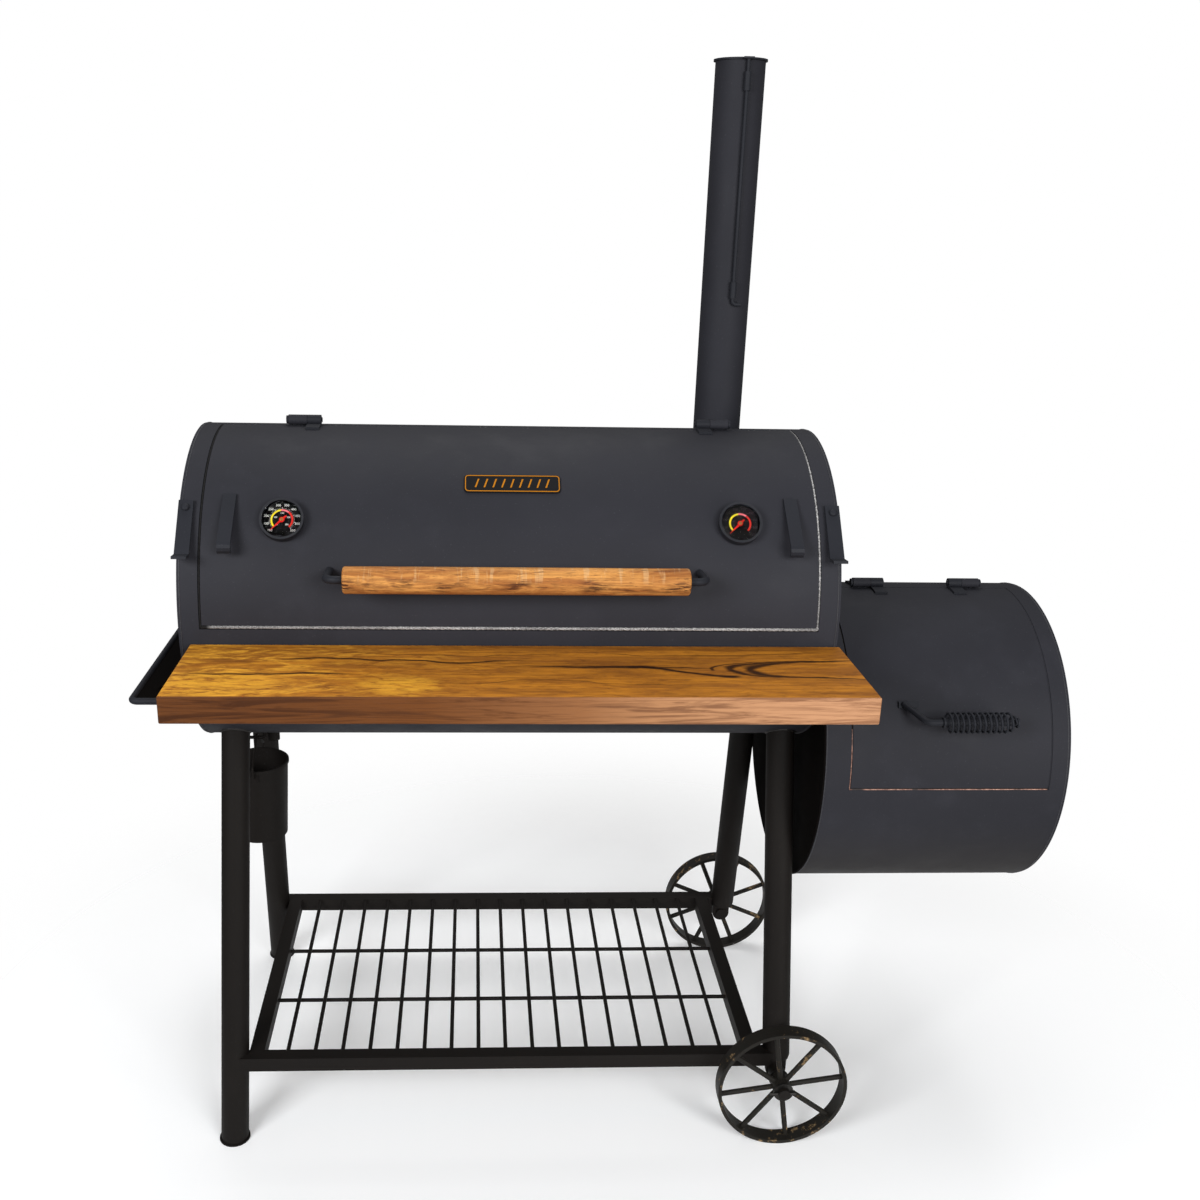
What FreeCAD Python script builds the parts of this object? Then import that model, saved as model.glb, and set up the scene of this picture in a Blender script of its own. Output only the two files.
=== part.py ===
# Offset smoker: a horizontal barrel cooking chamber with a quarter-round lid, a lower
# firebox butted to its right end, a chimney, a plank shelf, four splayed legs, a rod
# shelf between the legs and two spoked wheels on the right-hand legs.
#
# Units are millimetres, +Z is up, +X points to the firebox, -Y is the cook's side.
# Sub-parts are drawn in the barrel's frame: x = 0 at mid-barrel, y = 0 on the barrel's
# axis, z = 0 on the ground. Each one's Placement then moves it by plan_x and plan_y,
# which puts the origin at the centre of the whole smoker's outline on the ground.
# "Elevation" is an angle about a drum's axis, from the cook's side (0) to the top (90).

import FreeCAD, Part
import math
import os
import re
import Sketcher
from FreeCAD import Placement, Rotation, Vector

SIZES = {
    # barrel and its quarter-round opening
    "barrel_length": 1000, "barrel_radius": 260, "barrel_height": 915, "plate": 4,
    "lid_half": 465, "seam": 4, "seam_low": 6.4, "lid_low": 0.5, "lid_high": 90.5,
    "stop_inset": 22, "stop_plate": 3, "skin_gap": 0.4,
    # firebox and its door
    "firebox_length": 400, "firebox_drop": 270, "door_left": 546, "door_right": 868,
    "door_seam": 2.5, "door_seam_low": 3.2, "smoke_half": 115, "smoke_low": 700, "smoke_high": 800,
    # hinges
    "hinge_rise": 9, "knuckle_radius": 8, "pin_radius": 4, "pin_play": 0.06,
    "lid_hinge_at": 333, "door_hinge_mid": 708, "door_hinge_at": 83,
    "base_knuckle": 30, "strap_knuckle": 22, "strap_reach": 7, "strap_plate": 4,
    # lid furniture
    "grip_elevation": 16, "grip_standoff": 65, "grip_radius": 20, "grip_half": 252,
    "handle_half": 278, "handle_rod": 6, "handle_shift": 4.5, "gauge_at": 345, "gauge_elevation": 35.4,
    "gauge_radius": 33, "badge_elevation": 50.6, "badge_half": 74, "badge_height": 36,
    "latch_elevation": 39.5, "latch_at": 489, "latch_width": 22, "keeper_at": 426,
    "keeper_width": 20, "bar_plate": 4, "bolt_radius": 3.2,
    # chimney
    "chimney_x": 364, "chimney_y": 118, "chimney_radius": 40, "chimney_top": 1744,
    "chimney_wall": 3, "cap_radius": 43, "cap_plate": 3, "cap_rod_radius": 3,
    "cap_guide_radius": 5.5,
    # shelf in front and the bar frame beside it
    "shelf_length": 988, "shelf_centre": 10, "shelf_top": 888, "shelf_thick": 40,
    "shelf_back": 261, "shelf_depth": 215, "frame_bar": 5, "frame_reach": 545,
    "frame_front": 380,
    # legs, wheels, lower shelf
    "leg_radius": 23.2, "leg_wall": 3, "right_leg_shift": 9, "leg_top_x": 450, "leg_top_y": 130,
    "leg_foot_x": 463, "leg_foot_y": 281, "wheel_radius": 110, "wheel_width": 28,
    "wheel_x": 469, "wheel_face": 316, "axle_radius": 10, "spoke_radius": 4.5,
    "hub_radius": 15.5, "front_turn": 9, "rear_turn": 22,
    "rack_top": 150, "rack_tube": 25, "rack_half_x": 436, "rack_y": 258,
    "rack_rod": 3.5, "rack_pitch": 46.5, "rack_rods": 17, "rack_long_front": 88,
    "rack_long_rear": 72, "axle_height": 110, "leg_cut": 140, "foot_plate": 3,
    # bucket and drain
    "bucket_x": -440, "bucket_top": 580, "bucket_deep": 142, "bucket_rim": 52,
    "bucket_base": 46, "bucket_wall": 1.5, "hook_height": 623, "hook_wire": 3,
    "bail_wire": 2, "bail_half": 59, "ear_drop": 10,
}


def derive(sizes):
    """Adds the plan shift that centres the smoker's outline on the origin."""
    knob_end = sizes["barrel_length"] / 2 + sizes["firebox_length"] + 24
    left_end = sizes["frame_reach"] + sizes["frame_bar"]
    shelf_edge = sizes["shelf_back"] + sizes["shelf_depth"]
    axle_end = sizes["wheel_face"] + 14
    sizes["plan_x"] = (left_end - knob_end) / 2
    sizes["plan_y"] = (shelf_edge - axle_end) / 2
    return sizes


SIZES = derive(SIZES)
DOC = FreeCAD.newDocument("offset_smoker")
SHEET = DOC.addObject("Spreadsheet::Sheet", "sizes")
for row, (word, value) in enumerate(SIZES.items(), start=1):
    SHEET.set("A%d" % row, word)
    SHEET.set("B%d" % row, "%g" % value)
    SHEET.setAlias("B%d" % row, word)
DOC.recompute()

SUB_PARTS = []


def rule(text):
    """Turns the sheet's words in an expression into references to its cells."""
    def cell(match):
        word = match.group(0)
        return "sizes." + word if word in SIZES else word
    return re.sub(r"[a-z][a-z_]*", cell, str(text))


def val(text):
    """The value of an expression in the sheet's words."""
    return float(SHEET.evalExpression(rule(text)))


def bind(item, **rules):
    for prop, text in rules.items():
        item.setExpression(prop.replace("__", "."), rule(text))
    return item


def final(item, name, x="0", y="0", z="0"):
    """Registers a finished sub-part under its own name and shifts it in plan."""
    item.Label = name
    bind(item, Placement__Base__x="plan_x + (%s)" % x,
         Placement__Base__y="plan_y + (%s)" % y, Placement__Base__z=z)
    SUB_PARTS.append((name, item))
    return item


# ---------------------------------------------------------------- Part primitives

ALONG_LEFT = Rotation(Vector(0, -1, 0), Vector(0, 0, 1), Vector(-1, 0, 0), "ZXY")


def drum(name, radius, left, right, height, first=0, last=360):
    """A solid cylinder along X, or its wedge between two elevations."""
    item = DOC.addObject("Part::Cylinder", name)
    turn = Rotation(Vector(-1, 0, 0), first)
    item.Placement = Placement(Vector(0, 0, 0), turn.multiply(ALONG_LEFT))
    item.Angle = last - first
    return bind(item, Radius=radius, Height="(%s) - (%s)" % (right, left),
                Placement__Base__x=right, Placement__Base__z=height)


def cut(name, base, tool):
    item = DOC.addObject("Part::Cut", name)
    item.Base = base
    item.Tool = tool
    return item


def fuse(name, pieces):
    item = DOC.addObject("Part::MultiFuse", name)
    item.Shapes = pieces
    return item


def group(name, pieces):
    item = DOC.addObject("Part::Compound", name)
    item.Links = pieces
    return item


def box(name, x0, x1, y0, y1, z0, z1):
    item = DOC.addObject("Part::Box", name)
    return bind(item, Length="(%s) - (%s)" % (x1, x0), Width="(%s) - (%s)" % (y1, y0),
                Height="(%s) - (%s)" % (z1, z0), Placement__Base__x=x0,
                Placement__Base__y=y0, Placement__Base__z=z0)


def rod(name, start, end, radius):
    """A round bar between two points; its radius is bound to the sheet."""
    start = Vector(*[val(c) for c in start])
    along = Vector(*[val(c) for c in end]) - start
    item = DOC.addObject("Part::Cylinder", name)
    item.Height = along.Length
    item.Placement = Placement(start, Rotation(Vector(0, 0, 1), along))
    return bind(item, Radius=radius)


def tube(name, start, end, outer, inner):
    return cut(name, rod(name + "_outer", start, end, outer),
               rod(name + "_bore", start, end, inner))


def curved_plate(name, inner, outer, first, last, left, right, height):
    """A rolled plate: the part of a drum's wall between two elevations."""
    wedge = drum(name + "_wedge", outer, left, right, height, first, last)
    core = drum(name + "_core", inner, "(%s) - 1" % left, "(%s) + 1" % right, height)
    return cut(name, wedge, core)


def bent_bar(name, points, bend, radius):
    """A round bar bent along straight runs joined by tangent arcs."""
    points = [Vector(*[val(c) for c in point]) for point in points]
    edges = []
    begin = points[0]
    for before, corner, after in zip(points, points[1:], points[2:]):
        back = (before - corner).normalize()
        ahead = (after - corner).normalize()
        half = back.getAngle(ahead) / 2
        leave = corner + back * (bend / math.tan(half))
        join = corner + ahead * (bend / math.tan(half))
        centre = corner + (back + ahead).normalize() * (bend / math.sin(half))
        middle = centre + (corner - centre).normalize() * bend
        edges.append(Part.LineSegment(begin, leave).toShape())
        edges.append(Part.Arc(leave, middle, join).toShape())
        begin = join
    edges.append(Part.LineSegment(begin, points[-1]).toShape())
    profile = Part.Wire(Part.Circle(points[0], points[1] - points[0], val(radius)).toShape())
    item = DOC.addObject("Part::Feature", name)
    item.Shape = Part.Wire(edges).makePipeShell([profile], True, False)
    return item


def on_drum(x, elevation, radius, height):
    """A point given by its elevation and distance from a drum's axis, as expressions."""
    return (x, "-(%s) * cos(%s)" % (radius, elevation),
            "%s + (%s) * sin(%s)" % (height, radius, elevation))


# ---------------------------------------------------------------- PartDesign helpers

def new_body(name):
    body = DOC.addObject("PartDesign::Body", name)
    body.AllowCompound = True
    return body


def sketch(body, role, offset="0"):
    item = body.newObject("Sketcher::SketchObject", body.Name + "_sketch")
    plane = [feature for feature in body.Origin.OriginFeatures if feature.Role == role][0]
    item.AttachmentSupport = [(plane, "")]
    item.MapMode = "FlatFace"
    bind(item, AttachmentOffset__Base__z=offset)
    return item


def dimension(item, kind, indices, text):
    """Adds one driving dimension bound to an expression of the sheet."""
    number = item.addConstraint(Sketcher.Constraint(kind, *indices, val(text)))
    item.setExpression("Constraints[%d]" % number, rule(text))


def circle(item, x, y, radius):
    centre = Vector(val(x), val(y), 0)
    number = item.addGeometry(Part.Circle(centre, Vector(0, 0, 1), val(radius)))
    dimension(item, "DistanceX", (-1, 1, number, 3), x)
    dimension(item, "DistanceY", (-1, 1, number, 3), y)
    dimension(item, "Radius", (number,), radius)


def polygon(item, points):
    """A closed outline through points given as pairs of expressions."""
    places = [Vector(val(x), val(y), 0) for x, y in points]
    count = len(places)
    start = len(item.Geometry)
    for number in range(count):
        after = places[(number + 1) % count]
        item.addGeometry(Part.LineSegment(places[number], after))
    for number in range(count):
        following = start + (number + 1) % count
        item.addConstraint(Sketcher.Constraint("Coincident", start + number, 2, following, 1))
    for number, (x, y) in enumerate(points):
        dimension(item, "DistanceX", (-1, 1, start + number, 1), x)
        dimension(item, "DistanceY", (-1, 1, start + number, 1), y)


def rectangle(item, x0, y0, x1, y1):
    polygon(item, [(x0, y0), (x1, y0), (x1, y1), (x0, y1)])


def pad(body, profile, length):
    item = body.newObject("PartDesign::Pad", body.Name + "_pad")
    item.Profile = profile
    return bind(item, Length=length)


def pocket(body, profile, length):
    item = body.newObject("PartDesign::Pocket", body.Name + "_pocket")
    item.Profile = profile
    return bind(item, Length=length)


def turned(name, points):
    """A body turned about its own Z axis from a half outline of radii and heights."""
    body = new_body(name)
    outline = sketch(body, "XZ_Plane")
    polygon(outline, points)
    item = body.newObject("PartDesign::Revolution", name + "_turn")
    item.Profile = outline
    item.ReferenceAxis = (outline, ["V_Axis"])
    return body


def seat(item, elevation, x="0", height="barrel_height", turn=0):
    """Puts a piece drawn with +Z outward from a drum's axis at its elevation."""
    lean = Rotation(Vector(1, 0, 0), 90 - val(elevation))
    item.Placement = Placement(Vector(0, 0, 0), lean.multiply(Rotation(Vector(0, 0, 1), turn)))
    return bind(item, Placement__Base__x=x, Placement__Base__z=height)


def ring(name, outer, inner, start, length, height):
    """A tube along X drawn as a padded ring."""
    body = new_body(name)
    outline = sketch(body, "YZ_Plane", start)
    circle(outline, "0", height, outer)
    circle(outline, "0", height, inner)
    pad(body, outline, length)
    return body


# ---------------------------------------------------------------- chambers

FIREBOX_LEFT = "barrel_length / 2"
FIREBOX_RIGHT = "barrel_length / 2 + firebox_length"
FIREBOX_HEIGHT = "(barrel_height - firebox_drop)"
DRAIN_X = "bucket_x + 30"
DAMPER_HEIGHT = FIREBOX_HEIGHT + " - 95"


def seam_angle(width):
    """The angle that a seam takes up at the drum's skin, in degrees."""
    return "(%s) / barrel_radius * 180 / pi" % width


def chamber_shell(name, left, right, height, door_left, door_right, gap, gap_low):
    """A rolled shell with its quarter-round opening, still to be finished."""
    body = ring(name, "barrel_radius", "barrel_radius - plate", left,
                "(%s) - (%s)" % (right, left), height)
    low = "(lid_low - %s)" % seam_angle(gap_low)
    high = "(lid_high + %s)" % seam_angle(gap)
    reach = "barrel_radius * 1.5"
    opening = sketch(body, "YZ_Plane", "%s + %s" % (door_right, gap))
    polygon(opening, [("0", height),
                      ("-%s * cos(%s)" % (reach, low), "%s + %s * sin(%s)" % (height, reach, low)),
                      ("-" + reach, "%s + %s" % (height, reach)),
                      ("-%s * cos(%s)" % (reach, high),
                       "%s + %s * sin(%s)" % (height, reach, high))])
    pocket(body, opening, "(%s) - (%s) + 2 * %s" % (door_right, door_left, gap))
    return body


def main_barrel():
    body = chamber_shell("main_barrel", "plate - barrel_length / 2",
                         "barrel_length / 2 - plate", "barrel_height",
                         "-lid_half", "lid_half", "seam", "seam_low")
    smoke_outlet = sketch(body, "XY_Plane", "barrel_height + barrel_radius + 1")
    circle(smoke_outlet, "chimney_x", "chimney_y", "chimney_radius")
    pocket(body, smoke_outlet, "barrel_radius")
    drain = sketch(body, "XY_Plane", "barrel_height")
    circle(drain, DRAIN_X, "0", "8")
    pocket(body, drain, "barrel_radius + 1")
    final(body, "main_barrel")


def end_disc(name, left, height):
    """An end plate of a chamber."""
    body = new_body(name)
    outline = sketch(body, "YZ_Plane", left)
    circle(outline, "0", height, "barrel_radius")
    pad(body, outline, "plate")
    return body


def smoke_window(body, right):
    """The opening low in the wall that the barrel and the firebox share."""
    window = sketch(body, "YZ_Plane", right)
    rectangle(window, "-smoke_half", "smoke_low", "smoke_half", "smoke_high")
    pocket(body, window, "plate")


def barrel_ends():
    final(end_disc("barrel_end_left", "-barrel_length / 2", "barrel_height"), "barrel_end_left")
    right = end_disc("barrel_end_right", "barrel_length / 2 - plate", "barrel_height")
    smoke_window(right, "barrel_length / 2")
    final(right, "barrel_end_right")


def firebox_chamber():
    shell = chamber_shell("firebox_shell", FIREBOX_LEFT + " + plate", FIREBOX_RIGHT + " - plate",
                          FIREBOX_HEIGHT, "door_left", "door_right", "door_seam",
                          "door_seam_low")
    final(shell, "firebox_shell")
    left = end_disc("firebox_end_left", FIREBOX_LEFT, FIREBOX_HEIGHT)
    smoke_window(left, FIREBOX_LEFT + " + plate")
    final(left, "firebox_end_left")
    right = end_disc("firebox_end_right", FIREBOX_RIGHT + " - plate", FIREBOX_HEIGHT)
    inlet = sketch(right, "YZ_Plane", FIREBOX_RIGHT)
    air_holes(inlet, DAMPER_HEIGHT, "5")
    pocket(right, inlet, "plate")
    final(right, "firebox_end_right")


def stop_frame(name, door_left, door_right, height):
    """A rolled flat-bar frame inside the opening that the door closes against."""
    overlap = val(seam_angle("stop_inset"))
    inner = "barrel_radius - plate - stop_plate"
    low = val("lid_low")
    high = val("lid_high")
    sheet = curved_plate(name + "_sheet", inner, "barrel_radius - plate", low - overlap,
                         high + overlap, door_left + " - stop_inset",
                         door_right + " + stop_inset", height)
    window = drum(name + "_window", "barrel_radius", door_left + " + stop_inset",
                  door_right + " - stop_inset", height, low + overlap, high - overlap)
    final(cut(name, sheet, window), name)


def lid_seal():
    """A woven rope laid in the seam, held to the barrel's edge."""
    low = val("lid_low - %s" % seam_angle("seam_low"))
    high = val("lid_high + %s" % seam_angle("seam"))
    clear = val(seam_angle("0.5"))
    sheet = curved_plate("seal_sheet", "barrel_radius - plate", "barrel_radius - 0.8", low, high,
                         "-lid_half - seam", "lid_half + seam", "barrel_height")
    inside = drum("seal_inside", "barrel_radius", "-lid_half - 0.5", "lid_half + 0.5",
                  "barrel_height", val("lid_low") - clear, val("lid_high") + clear)
    final(cut("lid_seal", sheet, inside), "lid_seal")


def door_plate(name, left, right, height):
    return curved_plate(name, "barrel_radius - plate + skin_gap", "barrel_radius",
                        val("lid_low"), val("lid_high"), left, right, height)


def lid_plate():
    plate = door_plate("lid_blank", "-lid_half", "lid_half", "barrel_height")
    holes = []
    for side in (-1, 1):
        x = "%d * gauge_at" % side
        inside = on_drum(x, "gauge_elevation", "barrel_radius - 10", "barrel_height")
        outside = on_drum(x, "gauge_elevation", "barrel_radius + 10", "barrel_height")
        holes.append(rod("gauge_hole", inside, outside, "7"))
    final(cut("lid_plate", plate, group("gauge_holes", holes)), "lid_plate")


# ---------------------------------------------------------------- hinges

HINGE_ELEVATION = "(lid_high + 0.5)"
HINGE_RADIUS = "(barrel_radius + hinge_rise)"


def hinge_places():
    """Each hinge: its side, the plane where its two knuckles meet, its drum's height."""
    places = {"lid": [], "door": []}
    for side in (-1, 1):
        places["lid"].append((side, "%d * (lid_hinge_at - 3)" % side, "barrel_height"))
        places["door"].append((side, "door_hinge_mid + %d * (door_hinge_at - 3)" % side,
                               FIREBOX_HEIGHT))
    return places


def hinge_half(name, start, end, height, first, last):
    """A knuckle with a strap rolled to lie on the drum."""
    left, right = sorted((start, end), key=val)
    knuckle = rod(name + "_knuckle", on_drum(left, HINGE_ELEVATION, HINGE_RADIUS, height),
                  on_drum(right, HINGE_ELEVATION, HINGE_RADIUS, height), "knuckle_radius")
    strap = curved_plate(name + "_strap", "barrel_radius", "barrel_radius + strap_plate",
                         first, last, left, right, height)
    bore = rod(name + "_bore", on_drum(left, HINGE_ELEVATION, HINGE_RADIUS, height),
               on_drum(right, HINGE_ELEVATION, HINGE_RADIUS, height), "pin_radius + pin_play")
    return cut(name, fuse(name + "_joined", [knuckle, strap]), bore)


def hinge_pin(side, meet, height):
    outer = "%s + %d * (base_knuckle + 1)" % (meet, side)
    inner = "%s - %d * (strap_knuckle + 2)" % (meet, side)
    head = "%s + %d * (base_knuckle + 4)" % (meet, side)
    spots = [on_drum(x, HINGE_ELEVATION, HINGE_RADIUS, height) for x in (inner, outer, head)]
    shank = rod("pin_shank", spots[0], spots[1], "pin_radius")
    return fuse("hinge_pin", [shank, rod("pin_head", spots[1], spots[2], "pin_radius + 2.5")])


def hinges():
    places = hinge_places()
    bases = []
    pins = []
    high = val("lid_high")
    for kind, spots in places.items():
        straps = []
        for side, meet, height in spots:
            base_end = "%s + %d * (base_knuckle + 0.3)" % (meet, side)
            base_start = "%s + %d * 0.3" % (meet, side)
            bases.append(hinge_half("hinge_base", base_start, base_end, height,
                                    high + 1, high + 9.5))
            strap_end = "%s - %d * (strap_knuckle + 0.3)" % (meet, side)
            strap_start = "%s - %d * 0.3" % (meet, side)
            straps.append(hinge_half(kind + "_strap", strap_start, strap_end, height,
                                     high - val("strap_reach"), high - 0.3))
            pins.append(hinge_pin(side, meet, height))
        final(group(kind + "_hinge_straps", straps), kind + "_hinge_straps")
    final(group("hinge_bases", bases), "hinge_bases")
    final(group("hinge_pins", pins), "hinge_pins")


# ---------------------------------------------------------------- lid furniture

def lid_handle():
    reach = "barrel_radius + grip_standoff"
    foot = "barrel_radius - 4"
    bar = bent_bar("handle_bar", [("-handle_half", "14", foot), ("-handle_half", "0", reach),
                                  ("handle_half", "0", reach), ("handle_half", "14", foot)],
                   16, "handle_rod")
    coped = cut("handle_coped", seat(bar, "grip_elevation", "handle_shift"), skin_tool())
    final(coped, "handle_rod")
    grip = new_body("handle_grip")
    outline = sketch(grip, "YZ_Plane", "-grip_half")
    circle(outline, "0", reach, "grip_radius")
    circle(outline, "0", reach, "handle_rod + 0.05")
    body_pad = pad(grip, outline, "2 * grip_half")
    DOC.recompute()
    soften = grip.newObject("PartDesign::Fillet", "grip_fillet")
    soften.Base = (body_pad, round_edges(body_pad, val("grip_radius")))
    soften.Radius = 4
    final(seat(grip, "grip_elevation"), "handle_grip", x="handle_shift", z="barrel_height")


def round_edges(feature, radius):
    """Names of the circular edges of one radius."""
    names = []
    for number, edge in enumerate(feature.Shape.Edges, start=1):
        curve = edge.Curve
        if hasattr(curve, "Radius") and abs(curve.Radius - radius) < 0.01:
            names.append("Edge%d" % number)
    return names


def thermometers():
    """Two dial thermometers screwed through the lid, with a pointer that turns."""
    skin = "barrel_radius"
    rows = {"thermometer_cases": [("0", "0.6"), ("30", "0.6"), ("gauge_radius", "3"),
                                  ("gauge_radius", "14"), ("gauge_radius - 3.5", "14"),
                                  ("gauge_radius - 3.5", "6.5"), ("0", "6.5")],
            "thermometer_dials": [("0", "6.5"), ("gauge_radius - 3.7", "6.5"),
                                  ("gauge_radius - 3.7", "7.5"), ("1.5", "7.5"),
                                  ("1.5", "9.8"), ("0", "9.8")],
            "thermometer_lenses": [("0", "11"), ("gauge_radius - 3.7", "11"),
                                   ("gauge_radius - 3.7", "13"), ("0", "13")],
            "thermometer_probes": [("0", "0.6"), ("6.9", "0.6"), ("6.9", "-4.2"),
                                   ("12", "-4.2"), ("12", "-10"), ("3", "-10"),
                                   ("3", "-60"), ("0", "-60")]}
    for name, outline in rows.items():
        pair = []
        for side in (-1, 1):
            piece = turned(name + "_one", [(r, "%s + %s" % (skin, z)) for r, z in outline])
            pair.append(seat(piece, "gauge_elevation", "%d * gauge_at" % side))
        final(group(name, pair), name)
    for side, name in ((-1, "pointer_left"), (1, "pointer_right")):
        body = new_body(name)
        needle = sketch(body, "XY_Plane", skin + " + 8")
        polygon(needle, [("-9", "1.2"), ("-9", "-1.2"), ("0", "-1.8"), ("23", "-0.4"),
                         ("23", "0.4"), ("0", "1.8")])
        pad(body, needle, "0.8")
        hub = sketch(body, "XY_Plane", skin + " + 8")
        circle(hub, "0", "0", "4")
        pad(body, hub, "0.8")
        bore = sketch(body, "XY_Plane", skin + " + 8.8")
        circle(bore, "0", "0", "1.5 + pin_play")
        pocket(body, bore, "0.8")
        seat(body, "gauge_elevation", turn=225)
        final(body, name, x="%d * gauge_at" % side, z="barrel_height")


def badge():
    half = val(seam_angle("badge_height / 2"))
    middle = val("badge_elevation")
    final(curved_plate("badge", "barrel_radius", "barrel_radius + 2.5", middle - half,
                       middle + half, "-badge_half", "badge_half", "barrel_height"), "badge")


def skin_tool():
    """The barrel's outer skin as a solid, to cope welded pieces to it."""
    return drum("skin", "barrel_radius", "-barrel_length / 2", "barrel_length / 2",
                "barrel_height")


def keepers():
    """Two straps bent into a loop and welded to the lid."""
    top = "barrel_radius"
    pair = []
    for side in (-1, 1):
        body = new_body("keeper")
        outline = sketch(body, "YZ_Plane", "-keeper_width / 2")
        polygon(outline, [("26", top + " - 3"), ("26", top + " + 2.6"),
                          ("-62", top + " + 20.5"), ("-67", top + " + 21"),
                          ("-72", top + " + 19"), ("-75", top + " + 15"),
                          ("-76", top + " + 9"), ("-72", top + " + 9"),
                          ("-71.2", top + " + 13.4"), ("-69.4", top + " + 15.8"),
                          ("-66", top + " + 17"), ("-62", top + " + 16.5"),
                          ("20", top + " - 0.3")])
        pad(body, outline, "keeper_width")
        seat(body, "latch_elevation", "%d * keeper_at" % side)
        pair.append(cut("keeper_coped", body, skin_tool()))
    final(group("lid_keepers", pair), "lid_keepers")


def latches():
    """A bar hanging from a bolt at each end of the barrel, its foot bent outward."""
    top = "barrel_radius"
    posts = []
    for side, name in ((-1, "latch_left"), (1, "latch_right")):
        x = "%d * latch_at" % side
        post = turned("latch_post", [("0", top + " - 3"), ("10.5", top + " - 3"),
                                     ("10.5", top + " + 2"), ("bolt_radius", top + " + 2"),
                                     ("bolt_radius", top + " + 6.5"), ("5", top + " + 6.5"),
                                     ("5.8", top + " + 8.2"), ("5", top + " + 10.4"),
                                     ("2.8", top + " + 12"), ("0", top + " + 12")])
        posts.append(cut("latch_post_coped", seat(post, "latch_elevation", x), skin_tool()))
        body = new_body(name)
        outline = sketch(body, "YZ_Plane", "-latch_width / 2")
        polygon(outline, [("13", top + " + 2.2"), ("13", top + " + 2.2 + bar_plate"),
                          ("-76", top + " + 2.2 + bar_plate"), ("-87", top + " + 22"),
                          ("-90.5", top + " + 20"), ("-78.5", top + " + 2.2")])
        pad(body, outline, "latch_width")
        bore = sketch(body, "XY_Plane", top + " + 2.2 + bar_plate")
        circle(bore, "0", "0", "bolt_radius + pin_play")
        pocket(body, bore, "bar_plate")
        seat(body, "latch_elevation")
        final(body, name, x=x, z="barrel_height")
    final(group("latch_posts", posts), "latch_posts")


# ---------------------------------------------------------------- chimney

CAP_ROD_X = "chimney_x + 4"
CAP_ROD_Y = "chimney_y - chimney_radius - cap_guide_radius + 0.2"


def chimney():
    foot = "barrel_height + 195"
    final(tube("chimney_pipe", ("chimney_x", "chimney_y", foot),
               ("chimney_x", "chimney_y", "chimney_top"), "chimney_radius",
               "chimney_radius - chimney_wall"), "chimney_pipe")
    cap = new_body("chimney_cap")
    outline = sketch(cap, "XY_Plane", "chimney_top + 0.3")
    circle(outline, "chimney_x", "chimney_y", "cap_radius")
    pad(cap, outline, "cap_plate")
    lug = sketch(cap, "XY_Plane", "chimney_top + 0.3")
    rectangle(lug, CAP_ROD_X + " - 8", CAP_ROD_Y + " - 6", CAP_ROD_X + " + 8", "chimney_y")
    pad(cap, lug, "cap_plate")
    final(cap, "chimney_cap")
    final(bent_bar("cap_rod", [(CAP_ROD_X, CAP_ROD_Y, "chimney_top + 0.3"),
                               (CAP_ROD_X, CAP_ROD_Y, "chimney_top - 372"),
                               (CAP_ROD_X + " + 14", CAP_ROD_Y, "chimney_top - 372")],
                   6, "cap_rod_radius"), "cap_rod")
    guides = []
    for low, high in ((46, 18), (362, 336)):
        guides.append(tube("guide", (CAP_ROD_X, CAP_ROD_Y, "chimney_top - %d" % low),
                           (CAP_ROD_X, CAP_ROD_Y, "chimney_top - %d" % high), "cap_guide_radius",
                           "cap_rod_radius + pin_play"))
    final(group("cap_rod_guides", guides), "cap_rod_guides")


# ---------------------------------------------------------------- inside the chambers

def grates():
    """Two rod grates over the barrel's width, one fire grate, and the ledges for all."""
    level = "barrel_height - 23"
    pair = []
    for side in (-1, 1):
        bars = []
        for number in range(24):
            x = "%d * (12 + 20 * %d)" % (side, number)
            bars.append(rod("grate_rod", (x, "-232", level), (x, "232", level), "3"))
        for y in (-215, -75, 75, 215):
            bars.append(rod("grate_bar", ("%d * 6" % side, str(y), level + " + 5.5"),
                            ("%d * 480" % side, str(y), level + " + 5.5"), "3"))
        pair.append(fuse("cooking_grate", bars))
    final(group("cooking_grates", pair), "cooking_grates")
    fire_level = FIREBOX_HEIGHT + " - 117"
    bars = []
    for number in range(9):
        x = "540 + 40 * %d" % number
        bars.append(rod("fire_bar", (x, "-205", fire_level), (x, "205", fire_level), "6"))
    for y in (-120, 120):
        bars.append(rod("fire_tie", ("525", str(y), fire_level + " + 9"),
                        ("875", str(y), fire_level + " + 9"), "4"))
    final(fuse("fire_grate", bars), "fire_grate")
    ledges = []
    for y0, y1 in (("-245", "-222"), ("222", "245")):
        ledges.append(box("ledge", "plate - barrel_length / 2", "barrel_length / 2 - plate",
                          y0, y1, level + " - 7", level + " - 3"))
    for y0, y1 in (("-215", "-190"), ("190", "215")):
        ledges.append(box("fire_ledge", FIREBOX_LEFT + " + plate", FIREBOX_RIGHT + " - plate",
                          y0, y1, fire_level + " - 10", fire_level + " - 6"))
    final(group("grate_ledges", ledges), "grate_ledges")


# ---------------------------------------------------------------- firebox door and damper

def air_holes(outline, height, bore):
    """Four air holes round a centre hole."""
    circle(outline, "0", height, bore)
    for quarter in range(4):
        angle = "%d" % (45 + 90 * quarter)
        circle(outline, "50 * cos(%s)" % angle, "%s + 50 * sin(%s)" % (height, angle), "19")


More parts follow.
